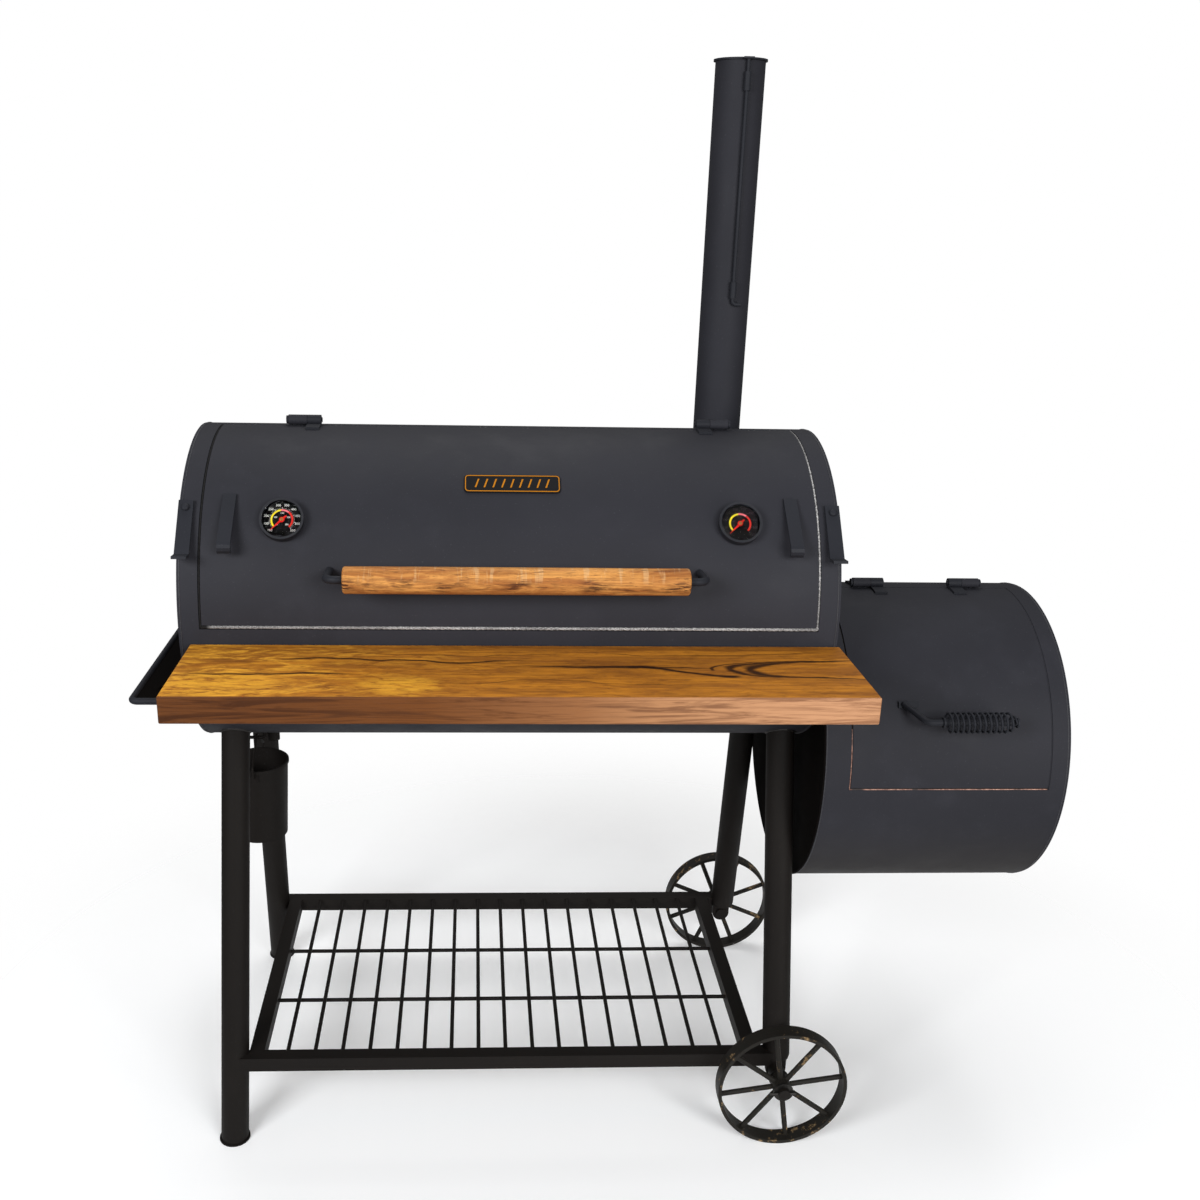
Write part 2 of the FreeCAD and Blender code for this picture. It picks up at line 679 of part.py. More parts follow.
def air_damper():
    body = new_body("air_damper")
    outline = sketch(body, "YZ_Plane", FIREBOX_RIGHT + " + 0.4")
    circle(outline, "0", DAMPER_HEIGHT, "84")
    pad(body, outline, "3")
    tab = sketch(body, "YZ_Plane", FIREBOX_RIGHT + " + 0.4")
    rectangle(tab, "-9", DAMPER_HEIGHT + " + 70", "9", DAMPER_HEIGHT + " + 108")
    pad(body, tab, "3")
    holes = sketch(body, "YZ_Plane", FIREBOX_RIGHT + " + 3.4")
    air_holes(holes, DAMPER_HEIGHT, "5 + pin_play")
    pocket(body, holes, "3")
    final(body, "air_damper")
    steps = [("-12", "-4", "9"), ("-4", "3.8", "5"), ("3.8", "8", "14"), ("8", "24", "9")]
    pieces = []
    for start, end, radius in steps:
        pieces.append(rod("pivot_step", (FIREBOX_RIGHT + " + " + start, "0", DAMPER_HEIGHT),
                          (FIREBOX_RIGHT + " + " + end, "0", DAMPER_HEIGHT), radius))
    final(fuse("damper_pivot", pieces), "damper_pivot")


def firebox_door():
    final(door_plate("firebox_door", "door_left", "door_right", FIREBOX_HEIGHT), "firebox_door")
    low = ("24", "barrel_radius + 45")
    places = [("628", "30.5", "barrel_radius + 5.5"), ("650",) + low, ("794",) + low]
    bar = bent_bar("door_bar", [on_drum(x, e, r, FIREBOX_HEIGHT) for x, e, r in places],
                   14, "5")
    foot = curved_plate("door_bar_foot", "barrel_radius", "barrel_radius + 4", 29.3, 31.7,
                        "620", "652", FIREBOX_HEIGHT)
    collars = []
    for start, end in (("674", "677"), ("791", "794")):
        collars.append(rod("collar", on_drum(start, low[0], low[1], FIREBOX_HEIGHT),
                           on_drum(end, low[0], low[1], FIREBOX_HEIGHT), "8"))
    final(fuse("door_handle_rod", [bar, foot] + collars), "door_handle_rod")
    final(coil_grip(), "door_handle_coil", *on_drum("679.6", low[0], low[1], FIREBOX_HEIGHT))


def coil_grip():
    """A coil of spring wire that keeps the hand off the hot rod."""
    wire = 2.4
    radius = 14.5
    path = Part.makeHelix(9.4, 108.8, radius)
    profile = Part.Wire(Part.Circle(Vector(radius, 0, 0), Vector(0, 1, 0), wire).toShape())
    item = DOC.addObject("Part::Feature", "door_handle_coil")
    item.Shape = Part.Wire(path).makePipeShell([profile], True, True)
    item.Placement = Placement(Vector(0, 0, 0), Rotation(Vector(0, 0, 1), Vector(1, 0, 0)))
    return item


# ---------------------------------------------------------------- shelf in front

BRACKET_SPOTS = ("shelf_centre - 400", "shelf_centre", "shelf_centre + 400")
SCREW_ROWS = ("-350", "-290")
SHELF_BOTTOM = "shelf_top - shelf_thick"


def front_shelf():
    plank = new_body("front_shelf")
    outline = sketch(plank, "XY_Plane", SHELF_BOTTOM)
    rectangle(outline, "shelf_centre - shelf_length / 2", "-shelf_back - shelf_depth",
              "shelf_centre + shelf_length / 2", "-shelf_back")
    blank = pad(plank, outline, "shelf_thick")
    DOC.recompute()
    soften = plank.newObject("PartDesign::Fillet", "plank_fillet")
    soften.Base = (blank, ["Edge%d" % (n + 1) for n in range(len(blank.Shape.Edges))])
    soften.Radius = 2.5
    holes = sketch(plank, "XY_Plane", SHELF_BOTTOM + " + 24")
    for x in BRACKET_SPOTS:
        for y in SCREW_ROWS:
            circle(holes, x + " + 10", y, "2.5")
    pocket(plank, holes, "24")
    final(plank, "front_shelf")


def shelf_brackets():
    """Three gussets with a flange under the plank, and the screws through the flanges."""
    brackets = []
    screws = []
    for x in BRACKET_SPOTS:
        gusset = new_body("gusset")
        outline = sketch(gusset, "YZ_Plane", x + " - 3")
        polygon(outline, [("frame_bar - frame_front", SHELF_BOTTOM),
                          ("frame_bar - frame_front", "831"),
                          ("-300", "805"), ("-225", "805"), ("-225", SHELF_BOTTOM)])
        pad(gusset, outline, "6")
        flange = box("flange", x + " - 18", x + " + 18", "-366", "-270",
                     SHELF_BOTTOM + " - 4", SHELF_BOTTOM)
        holes = []
        for y in SCREW_ROWS:
            holes.append(rod("screw_hole", (x + " + 10", y, "800"), (x + " + 10", y, "850"),
                             "2.5"))
            under = SHELF_BOTTOM + " - 4"
            screws.append(fuse("screw", [
                rod("screw_shank", (x + " + 10", y, under), (x + " + 10", y, under + " + 26"),
                    "2.45"),
                rod("screw_head", (x + " + 10", y, under + " - 3"), (x + " + 10", y, under),
                    "5")]))
        plate = cut("bracket_drilled", fuse("bracket", [gusset, flange]),
                    group("screw_holes", holes))
        brackets.append(cut("bracket_coped", plate, skin_tool()))
    final(group("shelf_brackets", brackets), "shelf_brackets")
    final(group("shelf_screws", screws), "shelf_screws")


def side_frame():
    """A bar under the plank's front that turns back at the left as a lifting handle."""
    level = SHELF_BOTTOM + " - frame_bar"
    final(bent_bar("shelf_frame", [("490", "-frame_front", level),
                                   ("-frame_reach", "-frame_front", level),
                                   ("-frame_reach", "75", level),
                                   ("-barrel_length / 2", "75", level)], 10, "frame_bar"),
          "shelf_frame")
    plate = new_body("side_plate")
    outline = sketch(plate, "XY_Plane", level + " - 1.5")
    left = "frame_bar - frame_reach + 0.02"
    front = "frame_bar - frame_front + 0.02"
    rear = "75 - frame_bar - 0.02"
    inner = "-barrel_length / 2 - 0.3"
    polygon(outline, [(left + " + 5", front), ("-470", front), ("-470", "-262"),
                      (inner, "-262"), (inner, rear), (left + " + 5", rear),
                      (left, rear + " - 5"), (left, front + " + 5")])
    pad(plate, outline, "3")
    bolt = turned("plate_bolt", [("0", level + " - 5.5"), ("6.5", level + " - 5.5"),
                                 ("6.5", level + " + 1.5"), ("5.6", level + " + 4"),
                                 ("3", level + " + 5.2"), ("0", level + " + 5.2")])
    bind(bolt, Placement__Base__x="-518", Placement__Base__y="-333")
    final(fuse("hanger_plate", [plate, bolt]), "hanger_plate")


# ---------------------------------------------------------------- legs

def leg_point(side_x, side_y, height):
    """A point on a leg's centre line at a height."""
    share = "(%s) / 690" % height
    shift = "right_leg_shift" if side_x > 0 else "0"
    return ("%d * (leg_foot_x + (leg_top_x - leg_foot_x) * %s) + %s" % (side_x, share, shift),
            "%d * (leg_foot_y + (leg_top_y - leg_foot_y) * %s)" % (side_y, share), height)


def leg(name, side_x, side_y, bottom):
    blank = tube(name + "_blank", leg_point(side_x, side_y, "-40"),
                 leg_point(side_x, side_y, "760"), "leg_radius", "leg_radius - leg_wall")
    below = box(name + "_below", "-700", "700", "-500", "500", "-100", bottom)
    return cut(name, cut(name + "_level", blank, below), skin_tool())


def legs():
    """Each end's two legs splay to front and rear; the right ones stop above the axles."""
    for side_x, name, bottom in ((-1, "legs_left", "foot_plate"), (1, "legs_right", "leg_cut")):
        final(group(name, [leg("leg", side_x, side_y, bottom) for side_y in (-1, 1)]), name)
    plates = []
    for side_y in (-1, 1):
        low = leg_point(-1, side_y, "0")
        high = leg_point(-1, side_y, "foot_plate")
        plates.append(rod("foot", low, (low[0], low[1], high[2]), "leg_radius + 2.5"))
    final(group("foot_plates", plates), "foot_plates")


# ---------------------------------------------------------------- wheels

def along_y(name, side_y, start, end, radius):
    """A round bar along Y on a wheel's axis, between two distances from the middle."""
    return rod(name, ("wheel_x", "%d * (%s)" % (side_y, start), "axle_height"),
               ("wheel_x", "%d * (%s)" % (side_y, end), "axle_height"), radius)


def wheel_hardware():
    """What carries each wheel: a lug on a capped leg, a stub axle, washers and a pin."""
    lugs = []
    axles = []
    washers = []
    pins = []
    for side_y in (-1, 1):
        x, y, z = leg_point(1, side_y, "leg_cut")
        cap = rod("leg_cap", (x, y, "leg_cut - 6"), (x, y, "leg_cut"), "leg_radius - 1")
        ends = sorted(("%d * 252" % side_y, "%d * 262" % side_y), key=val)
        plate = box("lug_plate", "wheel_x - 17", "wheel_x + 17", ends[0], ends[1],
                    "axle_height", "leg_cut - 3")
        eye = along_y("lug_eye", side_y, "252", "262", "17")
        hole = along_y("lug_hole", side_y, "250", "264", "axle_radius")
        lugs.append(cut("lug", fuse("lug_joined", [cap, plate, eye]), hole))
        bar = along_y("axle_bar", side_y, "248", "wheel_face + 14", "axle_radius")
        collar = along_y("axle_collar", side_y, "262", "wheel_face - wheel_width - 6", "14")
        pin_y = "%d * (wheel_face + 8.6)" % side_y
        pin_hole = rod("pin_hole", ("wheel_x - 30", pin_y, "axle_height"),
                       ("wheel_x + 30", pin_y, "axle_height"), "2.3")
        axles.append(cut("axle", fuse("axle_joined", [bar, collar]), pin_hole))
        pins.append(rod("cotter", ("wheel_x - 24", pin_y, "axle_height"),
                        ("wheel_x + 20", pin_y, "axle_height"), "2.2"))
        for start, end in (("wheel_face - wheel_width - 5.8", "wheel_face - wheel_width - 2.8"),
                           ("wheel_face + 2.8", "wheel_face + 5.8")):
            washers.append(cut("washer", along_y("washer_disc", side_y, start, end, "17"),
                               along_y("washer_bore", side_y, "250", "wheel_face + 20",
                                       "axle_radius + pin_play")))
    for name, pieces in (("axle_lugs", lugs), ("stub_axles", axles), ("axle_washers", washers),
                         ("cotter_pins", pins)):
        final(group(name, pieces), name)


def wheel(name, side_y, turn):
    """A rolled flat-bar rim, eight round spokes and a bored hub."""
    inner = "wheel_face - wheel_width"
    rim = cut("rim", along_y("rim_outer", side_y, inner, "wheel_face", "wheel_radius"),
              along_y("rim_inner", side_y, inner + " - 1", "wheel_face + 1",
                      "wheel_radius - 6"))
    hub = along_y("hub", side_y, inner + " - 2.5", "wheel_face + 2.5", "hub_radius")
    spokes = []
    middle = "%d * (wheel_face - wheel_width / 2)" % side_y
    for number in range(8):
        angle = "%s + %d" % (turn, 45 * number)
        spots = [("wheel_x + (%s) * cos(%s)" % (r, angle), middle,
                  "axle_height + (%s) * sin(%s)" % (r, angle))
                 for r in ("hub_radius - 3", "wheel_radius - 4")]
        spokes.append(rod("spoke", spots[0], spots[1], "spoke_radius"))
    bore = along_y("hub_bore", side_y, inner + " - 4", "wheel_face + 4",
                   "axle_radius + pin_play")
    final(cut(name, fuse("wheel_joined", [rim, hub] + spokes), bore), name)


# ---------------------------------------------------------------- lower shelf

def square_tube(name, x0, x1, y0, y1, along_x):
    """A square tube with 2 mm walls, lying along X or along Y."""
    low = "rack_top - rack_tube"
    outside = box(name, x0, x1, y0, y1, low, "rack_top")
    wall = ("0", "2") if along_x else ("2", "0")
    hollow = box(name + "_hollow", "%s + %s" % (x0, wall[0]), "%s - %s" % (x1, wall[0]),
                 "%s + %s" % (y0, wall[1]), "%s - %s" % (y1, wall[1]), low + " + 2",
                 "rack_top - 2")
    return cut(name + "_tube", outside, hollow)


def lower_shelf():
    rails = []
    for side_y in (-1, 1):
        middle = "%d * rack_y" % side_y
        rail = square_tube("rail", "-455", "464", middle + " - rack_tube / 2",
                           middle + " + rack_tube / 2", True)
        cores = [rod("leg_core", leg_point(side_x, side_y, "60"),
                     leg_point(side_x, side_y, "220"), "leg_radius") for side_x in (-1, 1)]
        rails.append(cut("rail_coped", rail, group("leg_cores", cores)))
    final(group("lower_rails_long", rails), "lower_rails_long")
    inside = "(rack_y - rack_tube / 2)"
    sides = [square_tube("side_rail", "-rack_half_x", "rack_tube - rack_half_x",
                         "-" + inside, inside, False),
             square_tube("side_rail", "rack_half_x - rack_tube", "rack_half_x",
                         "-" + inside, inside, False)]
    final(group("lower_rails_side", sides), "lower_rails_side")
    bars = []
    count = int(SIZES["rack_rods"])
    for number in range(count):
        x = "rack_pitch * (%d)" % (number - count // 2)
        bars.append(rod("cross_rod", (x, "-" + inside, "rack_top - 4.5"),
                        (x, inside, "rack_top - 4.5"), "rack_rod"))
    for y in ("-rack_long_front", "rack_long_rear"):
        bars.append(rod("long_rod", ("rack_tube - rack_half_x", y, "rack_top - 11.3"),
                        ("rack_half_x - rack_tube", y, "rack_top - 11.3"), "rack_rod"))
    final(fuse("lower_shelf_rods", bars), "lower_shelf_rods")


# ---------------------------------------------------------------- drain and bucket

def drain():
    skin = "barrel_height - barrel_radius"
    final(tube("drain_spout", (DRAIN_X, "0", skin + " - 35"), (DRAIN_X, "0", skin), "10.5",
               "8"), "drain_spout")
    final(bent_bar("bucket_hook", [("bucket_x - 17", "0", skin),
                                   ("bucket_x - 17", "0", "hook_height"),
                                   ("bucket_x + 14", "0", "hook_height"),
                                   ("bucket_x + 14", "0", "hook_height + 16")], 6,
                   "hook_wire"), "bucket_hook")


def bucket():
    """A pail with two drilled ears and a wire bail that rides on the hook."""
    bottom = "bucket_top - bucket_deep"
    ear = "bucket_top - ear_drop"
    shell = turned("pail", [("0", bottom), ("bucket_base", bottom),
                            ("bucket_rim", "bucket_top - 5"), ("bucket_rim + 2", "bucket_top - 5"),
                            ("bucket_rim + 2", "bucket_top"),
                            ("bucket_rim - bucket_wall", "bucket_top"),
                            ("bucket_base - bucket_wall", bottom + " + bucket_wall"),
                            ("0", bottom + " + bucket_wall")])
    ears = [box("ear", "-8", "8", "5.4 - bail_half", "1.2 - bucket_rim", ear + " - 9",
                ear + " + 5"),
            box("ear", "-8", "8", "bucket_rim - 1.2", "bail_half - 5.4", ear + " - 9",
                ear + " + 5")]
    bores = [rod("ear_bore", ("0", "%d * (bail_half + 5)" % side, ear),
                 ("0", "%d * (bucket_rim - 9)" % side, ear), "bail_wire + pin_play")
             for side in (-1, 1)]
    final(cut("bucket_pail", fuse("pail_joined", [shell] + ears), group("ear_bores", bores)),
          "bucket_pail", x="bucket_x")
    wrap = val("hook_wire + bail_wire + 0.1")
    shoulder = val("bucket_top + 8")
    half = val("bail_half")
    rise = val("hook_height") - shoulder
    slope = math.atan2(rise, half) + math.asin(wrap / math.hypot(rise, half))
    apex = shoulder + half * math.tan(slope)
    places = [("0", "1.6 - bucket_rim", ear), ("0", "-bail_half", ear),
              ("0", "-bail_half", shoulder), ("0", "0", apex), ("0", "bail_half", shoulder),
              ("0", "bail_half", ear), ("0", "bucket_rim - 1.6", ear)]
    final(bent_bar("bucket_bail", places, wrap, "bail_wire"), "bucket_bail", x="bucket_x")


# ---------------------------------------------------------------- build and hand over

def build():
    main_barrel()
    barrel_ends()
    firebox_chamber()
    stop_frame("lid_stop_frame", "-lid_half", "lid_half", "barrel_height")
    stop_frame("door_stop_frame", "door_left", "door_right", FIREBOX_HEIGHT)
    lid_seal()
    lid_plate()
    hinges()
    lid_handle()
    thermometers()
    badge()
    keepers()
    latches()
    chimney()
    grates()
    air_damper()
    firebox_door()
    front_shelf()
    shelf_brackets()
    side_frame()
    legs()
    wheel_hardware()
    wheel("front_wheel", -1, "front_turn")
    wheel("rear_wheel", 1, "rear_turn")
    lower_shelf()
    drain()
    bucket()
    DOC.recompute()


def faults():
    """Everything that would make a bad file: broken features and empty shapes."""
    found = []
    for item in DOC.Objects:
        if "Invalid" in item.State or "Error" in item.State:
            found.append("%s: %s" % (item.Label, item.State))
    for name, item in SUB_PARTS:
        if item.Shape.isNull() or not item.Shape.isValid() or not item.Shape.Solids:
            found.append(name + ": bad shape")
    return found


build()
problems = faults()
if problems:
    raise RuntimeError("\n".join(problems))
os.makedirs("parts", exist_ok=True)
for part_name, part in SUB_PARTS:
    part.Shape.exportStep("parts/%s.step" % part_name)
    solids = part.Shape.Solids
    print("%-20s %2d solids %10.0f mm3" % (part_name, len(solids), part.Shape.Volume))
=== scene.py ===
"""An offset smoker: looks, stage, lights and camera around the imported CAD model.

Lengths are metres in the CAD frame: +X points to the firebox, -Y to the cook, +Z up.
"Elevation" is an angle about a drum's axis, from the cook's side (0) to the top (90).
"""
import math

import bmesh
import bpy
from mathutils import Matrix, Vector


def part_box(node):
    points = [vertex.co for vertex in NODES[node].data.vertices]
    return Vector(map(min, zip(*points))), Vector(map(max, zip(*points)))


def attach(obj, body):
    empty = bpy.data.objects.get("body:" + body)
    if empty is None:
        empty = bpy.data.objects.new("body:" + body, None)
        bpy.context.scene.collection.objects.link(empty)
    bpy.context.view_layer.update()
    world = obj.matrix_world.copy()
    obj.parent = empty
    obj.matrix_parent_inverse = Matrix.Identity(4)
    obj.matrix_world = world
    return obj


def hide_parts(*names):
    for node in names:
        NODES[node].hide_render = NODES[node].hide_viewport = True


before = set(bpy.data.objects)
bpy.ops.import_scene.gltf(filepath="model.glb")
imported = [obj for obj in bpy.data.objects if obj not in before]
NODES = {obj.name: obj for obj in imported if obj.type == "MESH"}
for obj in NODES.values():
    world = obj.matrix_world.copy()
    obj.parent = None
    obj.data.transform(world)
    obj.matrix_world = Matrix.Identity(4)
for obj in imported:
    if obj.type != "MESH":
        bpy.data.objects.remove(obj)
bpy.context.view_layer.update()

MM = 0.001


# ---------------------------------------------------------------- where things are

class Drum:
    """A chamber: its axis, skin radius and length, read from its packed shell."""

    def __init__(self, shell):
        low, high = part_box(shell)
        self.left, self.right = low.x, high.x
        self.middle = (low.x + high.x) / 2
        self.y = (low.y + high.y) / 2
        self.z = (low.z + high.z) / 2
        self.radius = (high.y - low.y) / 2

    def at(self, x, elevation, radius):
        """A point from its elevation in degrees and its distance from the axis."""
        angle = math.radians(elevation)
        return Vector((x, self.y - radius * math.cos(angle), self.z + radius * math.sin(angle)))


BARREL = Drum("main_barrel")
FIREBOX = Drum("firebox_shell")


# ---------------------------------------------------------------- materials

def srgb(*channels):
    """Linear values of a colour given in 0-255 display values."""
    values = [c / 255 for c in channels]
    return [v / 12.92 if v <= 0.04045 else ((v + 0.055) / 1.055) ** 2.4 for v in values]


class Recipe:
    """A node material being put together around one Principled shader."""

    def __init__(self, name, colour, roughness, metallic=0.0, specular=0.5):
        self.material = bpy.data.materials.new(name)
        self.material.use_nodes = True
        self.tree = self.material.node_tree
        self.shader = self.tree.nodes["Principled BSDF"]
        sockets = self.shader.inputs
        sockets["Base Color"].default_value = (*colour, 1)
        sockets["Roughness"].default_value = roughness
        sockets["Metallic"].default_value = metallic
        sockets["Specular IOR Level"].default_value = specular
        self.place = self.node("ShaderNodeTexCoord").outputs["Object"]
        self.last_bump = None

    def node(self, kind, **settings):
        made = self.tree.nodes.new(kind)
        for key, value in settings.items():
            setattr(made, key, value)
        return made

    def feed(self, socket, value):
        """Links a socket, or sets it to a number or a colour."""
        if isinstance(value, bpy.types.NodeSocket):
            self.tree.links.new(value, socket)
        elif isinstance(value, (tuple, list)) and len(value) == 3 and socket.type == "RGBA":
            socket.default_value = (*value, 1)
        else:
            socket.default_value = value

    def stretched(self, x, y, z):
        """Object coordinates scaled per axis, so that noise runs long on one of them."""
        mapping = self.node("ShaderNodeMapping")
        self.feed(mapping.inputs["Vector"], self.place)
        mapping.inputs["Scale"].default_value = (x, y, z)
        return mapping.outputs["Vector"]

    def noise(self, scale, detail=3.0, rough=0.5, distortion=0.0, at=None):
        made = self.node("ShaderNodeTexNoise")
        self.feed(made.inputs["Vector"], at or self.place)
        made.inputs["Scale"].default_value = scale
        made.inputs["Detail"].default_value = detail
        made.inputs["Roughness"].default_value = rough
        made.inputs["Distortion"].default_value = distortion
        return made.outputs["Fac"]

    def maths(self, operation, a, b=0.0):
        made = self.node("ShaderNodeMath", operation=operation)
        self.feed(made.inputs[0], a)
        self.feed(made.inputs[1], b)
        return made.outputs[0]

    def plus(self, a, b):
        return self.maths("ADD", a, b)

    def minus(self, a, b):
        return self.maths("SUBTRACT", a, b)

    def times(self, a, b):
        return self.maths("MULTIPLY", a, b)

    def over(self, a, b):
        return self.maths("DIVIDE", a, b)

    def squared(self, a):
        return self.times(a, a)

    def size_of(self, a):
        return self.maths("ABSOLUTE", a)

    def band(self, value, low, high):
        """0 below low, 1 above high, smooth between; low may be the larger of the two."""
        made = self.node("ShaderNodeMapRange", interpolation_type="SMOOTHSTEP")
        self.feed(made.inputs["Value"], value)
        if low < high:
            ends = (low, high, 0.0, 1.0)
        else:
            ends = (high, low, 1.0, 0.0)
        for number, end in enumerate(ends, start=1):
            made.inputs[number].default_value = end
        return made.outputs["Result"]

    def axis(self, letter):
        made = self.node("ShaderNodeSeparateXYZ")
        self.feed(made.inputs[0], self.place)
        return made.outputs[letter]

    def mix(self, factor, a, b):
        made = self.node("ShaderNodeMix", data_type="RGBA")
        self.feed(made.inputs[0], factor)
        self.feed(made.inputs[6], a)
        self.feed(made.inputs[7], b)
        return made.outputs[2]

    def ramp(self, value, stops):
        made = self.node("ShaderNodeValToRGB")
        self.feed(made.inputs[0], value)
        elements = made.color_ramp.elements
        while len(elements) < len(stops):
            elements.new(0.5)
        for element, (position, colour) in zip(elements, stops):
            element.position = position
            element.color = (*colour[:3], 1)
        return made.outputs["Color"]

    def colour(self, value):
        self.feed(self.shader.inputs["Base Color"], value)
        return self

    def tone(self):
        """The socket that the colour is linked to so far."""
        return self.shader.inputs["Base Color"].links[0].from_socket

    def rough(self, source, low, high):
        """Roughness runs from low to high as the source goes from 0.3 to 0.7."""
        made = self.node("ShaderNodeMapRange")
        self.feed(made.inputs["Value"], source)
        for number, end in enumerate((0.3, 0.7, low, high), start=1):
            made.inputs[number].default_value = end
        self.feed(self.shader.inputs["Roughness"], made.outputs["Result"])
        return self

    def bump(self, height, distance):
        """Adds a height, in metres at full scale, to the surface's relief."""
        made = self.node("ShaderNodeBump")
        self.feed(made.inputs["Height"], height)
        made.inputs["Distance"].default_value = distance
        if self.last_bump is not None:
            self.feed(made.inputs["Normal"], self.last_bump)
        self.last_bump = made.outputs["Normal"]
        self.feed(self.shader.inputs["Normal"], self.last_bump)
        return self


def scaled(colour, factor):
    return [channel * factor for channel in colour]


def heat_paint(name, colour, roughness=0.62, specular=0.12, dusty=0.3):
    """Sprayed heat-proof paint: fine grain, cloudy gloss, a little dust and a few specks."""
    r = Recipe(name, colour, roughness, specular=specular)
    clouds = r.noise(2.2, 4, 0.55)
    patches = r.noise(14, 4, 0.6)
    grain = r.noise(900, 2, 0.6)
    specks = r.noise(420, 1, 0.5)
    tone = r.mix(r.band(clouds, 0.3, 0.72), scaled(colour, 0.88), scaled(colour, 1.1))
    tone = r.mix(r.band(patches, 0.45, 0.8), tone, scaled(colour, 1.14))
    dust = r.times(r.band(specks, 0.70, 0.78), dusty)
    tone = r.mix(dust, tone, [c * 2.0 + 0.02 for c in colour])
    r.colour(tone)
    r.rough(patches, roughness - 0.06, roughness + 0.08)
    r.bump(grain, 0.00006).bump(r.noise(160, 3, 0.5), 0.00008)
    return r


CHAMBER = srgb(42, 42, 47)
# painted shade: a darker copy of the chamber's paint for the stand, which sits low in the smoker's
# shadow
SHADED_STAND = srgb(22, 19, 17)


def chamber_coat():
    """Chamber paint, browned low on the firebox, with painted shade along the barrel's underside.
    """
    r = heat_paint("chamber_paint", CHAMBER)
    z = r.axis("Z")
    browned = r.band(z, FIREBOX.z - 0.05, FIREBOX.z - 0.21)
    tone = r.mix(r.times(browned, 0.7), r.tone(), srgb(42, 39, 37))
    # painted shade: the barrel's underside darkened as if in shadow
    underside_shade = r.times(r.band(z, BARREL.z - 0.215, BARREL.z - 0.245),
                    r.band(r.axis("X"), BARREL.right + 0.004, BARREL.right))
    r.colour(r.mix(r.times(underside_shade, 0.8), tone, srgb(24, 22, 21)))
    return r


chamber_paint = chamber_coat()
lid_paint = heat_paint("lid_paint", CHAMBER, 0.58)
fitting_paint = heat_paint("fitting_paint", srgb(36, 37, 42), 0.55)
stand_paint = heat_paint("stand_paint", SHADED_STAND, 0.6, dusty=0.4)
# near-black: painted shade on the firebox's left end, which lies in shadow; the hanger plate is
# simply near-black
shade_black_paint = heat_paint("shade_black_paint", srgb(12, 10, 9), 0.85, specular=0.02, dusty=0.2)


def worn_paint(name, colour, bare, threshold):
    """Paint knocked through to rusty steel in chips and scuffs; less wear at a higher threshold."""
    r = heat_paint(name, colour, 0.52, dusty=0.8)
    chips = r.noise(55, 6, 0.72)
    scuffs = r.noise(9, 3, 0.6)
    both = r.plus(r.times(chips, 0.7), r.times(scuffs, 0.3))
    worn = r.band(both, threshold, threshold + 0.05)
    rust = r.mix(r.band(r.noise(260), 0.4, 0.62), bare, scaled(bare, 0.45))
    r.colour(r.mix(worn, r.tone(), rust))
    return r


wheel_paint = worn_paint("wheel_paint", srgb(30, 28, 25), srgb(138, 114, 82), 0.562)
bucket_paint = worn_paint("bucket_paint", SHADED_STAND, srgb(70, 62, 56), 0.68)


def sooty_steel(name, colour):
    """Steel browned and crusted by fire."""
    r = Recipe(name, colour, 0.7, metallic=0.4)
    blotches = r.noise(24, 5, 0.65)
    rust = r.noise(70, 5, 0.7)
    tone = r.mix(r.band(blotches, 0.35, 0.65), scaled(colour, 0.5), scaled(colour, 1.3))
    r.colour(r.mix(r.band(rust, 0.55, 0.68), tone, srgb(92, 52, 30)))
    r.rough(blotches, 0.55, 0.85).bump(r.noise(300, 5, 0.7), 0.0004)
    return r


fire_steel = sooty_steel("fire_steel", srgb(60, 54, 50))


def plated_steel(name, colour, roughness):
    """Plating with dull patches and fine drawn streaks."""
    r = Recipe(name, colour, roughness, metallic=0.9)
    streaks = r.noise(240, 4, 0.7)
    r.colour(r.mix(r.band(r.noise(60, 4), 0.35, 0.7), scaled(colour, 0.6), colour))
    r.rough(streaks, roughness - 0.1, roughness + 0.15).bump(streaks, 0.00004)
    return r


zinc = plated_steel("zinc", srgb(120, 118, 114), 0.45)
dark_zinc = plated_steel("dark_zinc", srgb(62, 60, 58), 0.45)
brass = plated_steel("brass", srgb(196, 150, 84), 0.3)


class Plank:
    """The parts that the smoker's two oiled hardwood pieces share."""

    def __init__(self, name):
        self.r = Recipe(name, srgb(150, 96, 44), 0.5, specular=0.07)

    def long_noise(self, x, y, z, detail=3.0, rough=0.5, distortion=0.0):
        """Noise drawn out along the grain, given by its scale on each axis."""
        return self.r.noise(1.0, detail, rough, distortion, self.r.stretched(x, y, z))

    def line(self, field, centre, width):
        """1 on the contour of a field, falling to 0 at a width either side."""
        off = self.r.size_of(self.r.minus(field, centre))
        return self.r.band(off, width, width * 0.15)

    def shade(self, tone, mask, strength, colour):
        return self.r.mix(self.r.times(mask, strength), tone, colour)

    def fibre(self, tone, dark, pore_mask):
        """Fine fibres and open pores, in colour and in relief."""
        r = self.r
        fine = self.long_noise(9, 420, 420, 3, 0.6)
        pores = self.long_noise(60, 1100, 1100, 1)
        open_pores = r.times(r.band(pores, 0.60, 0.68), pore_mask)
        tone = self.shade(tone, r.band(fine, 0.42, 0.66), 0.25, dark)
        tone = self.shade(tone, open_pores, 0.6, dark)
        r.colour(tone).rough(fine, 0.38, 0.58)
        r.bump(fine, 0.0001).bump(r.band(pores, 0.68, 0.60), 0.0001)
        return tone


SHELF_LOW, SHELF_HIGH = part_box("front_shelf")
SHELF_MIDDLE = (SHELF_LOW + SHELF_HIGH) / 2


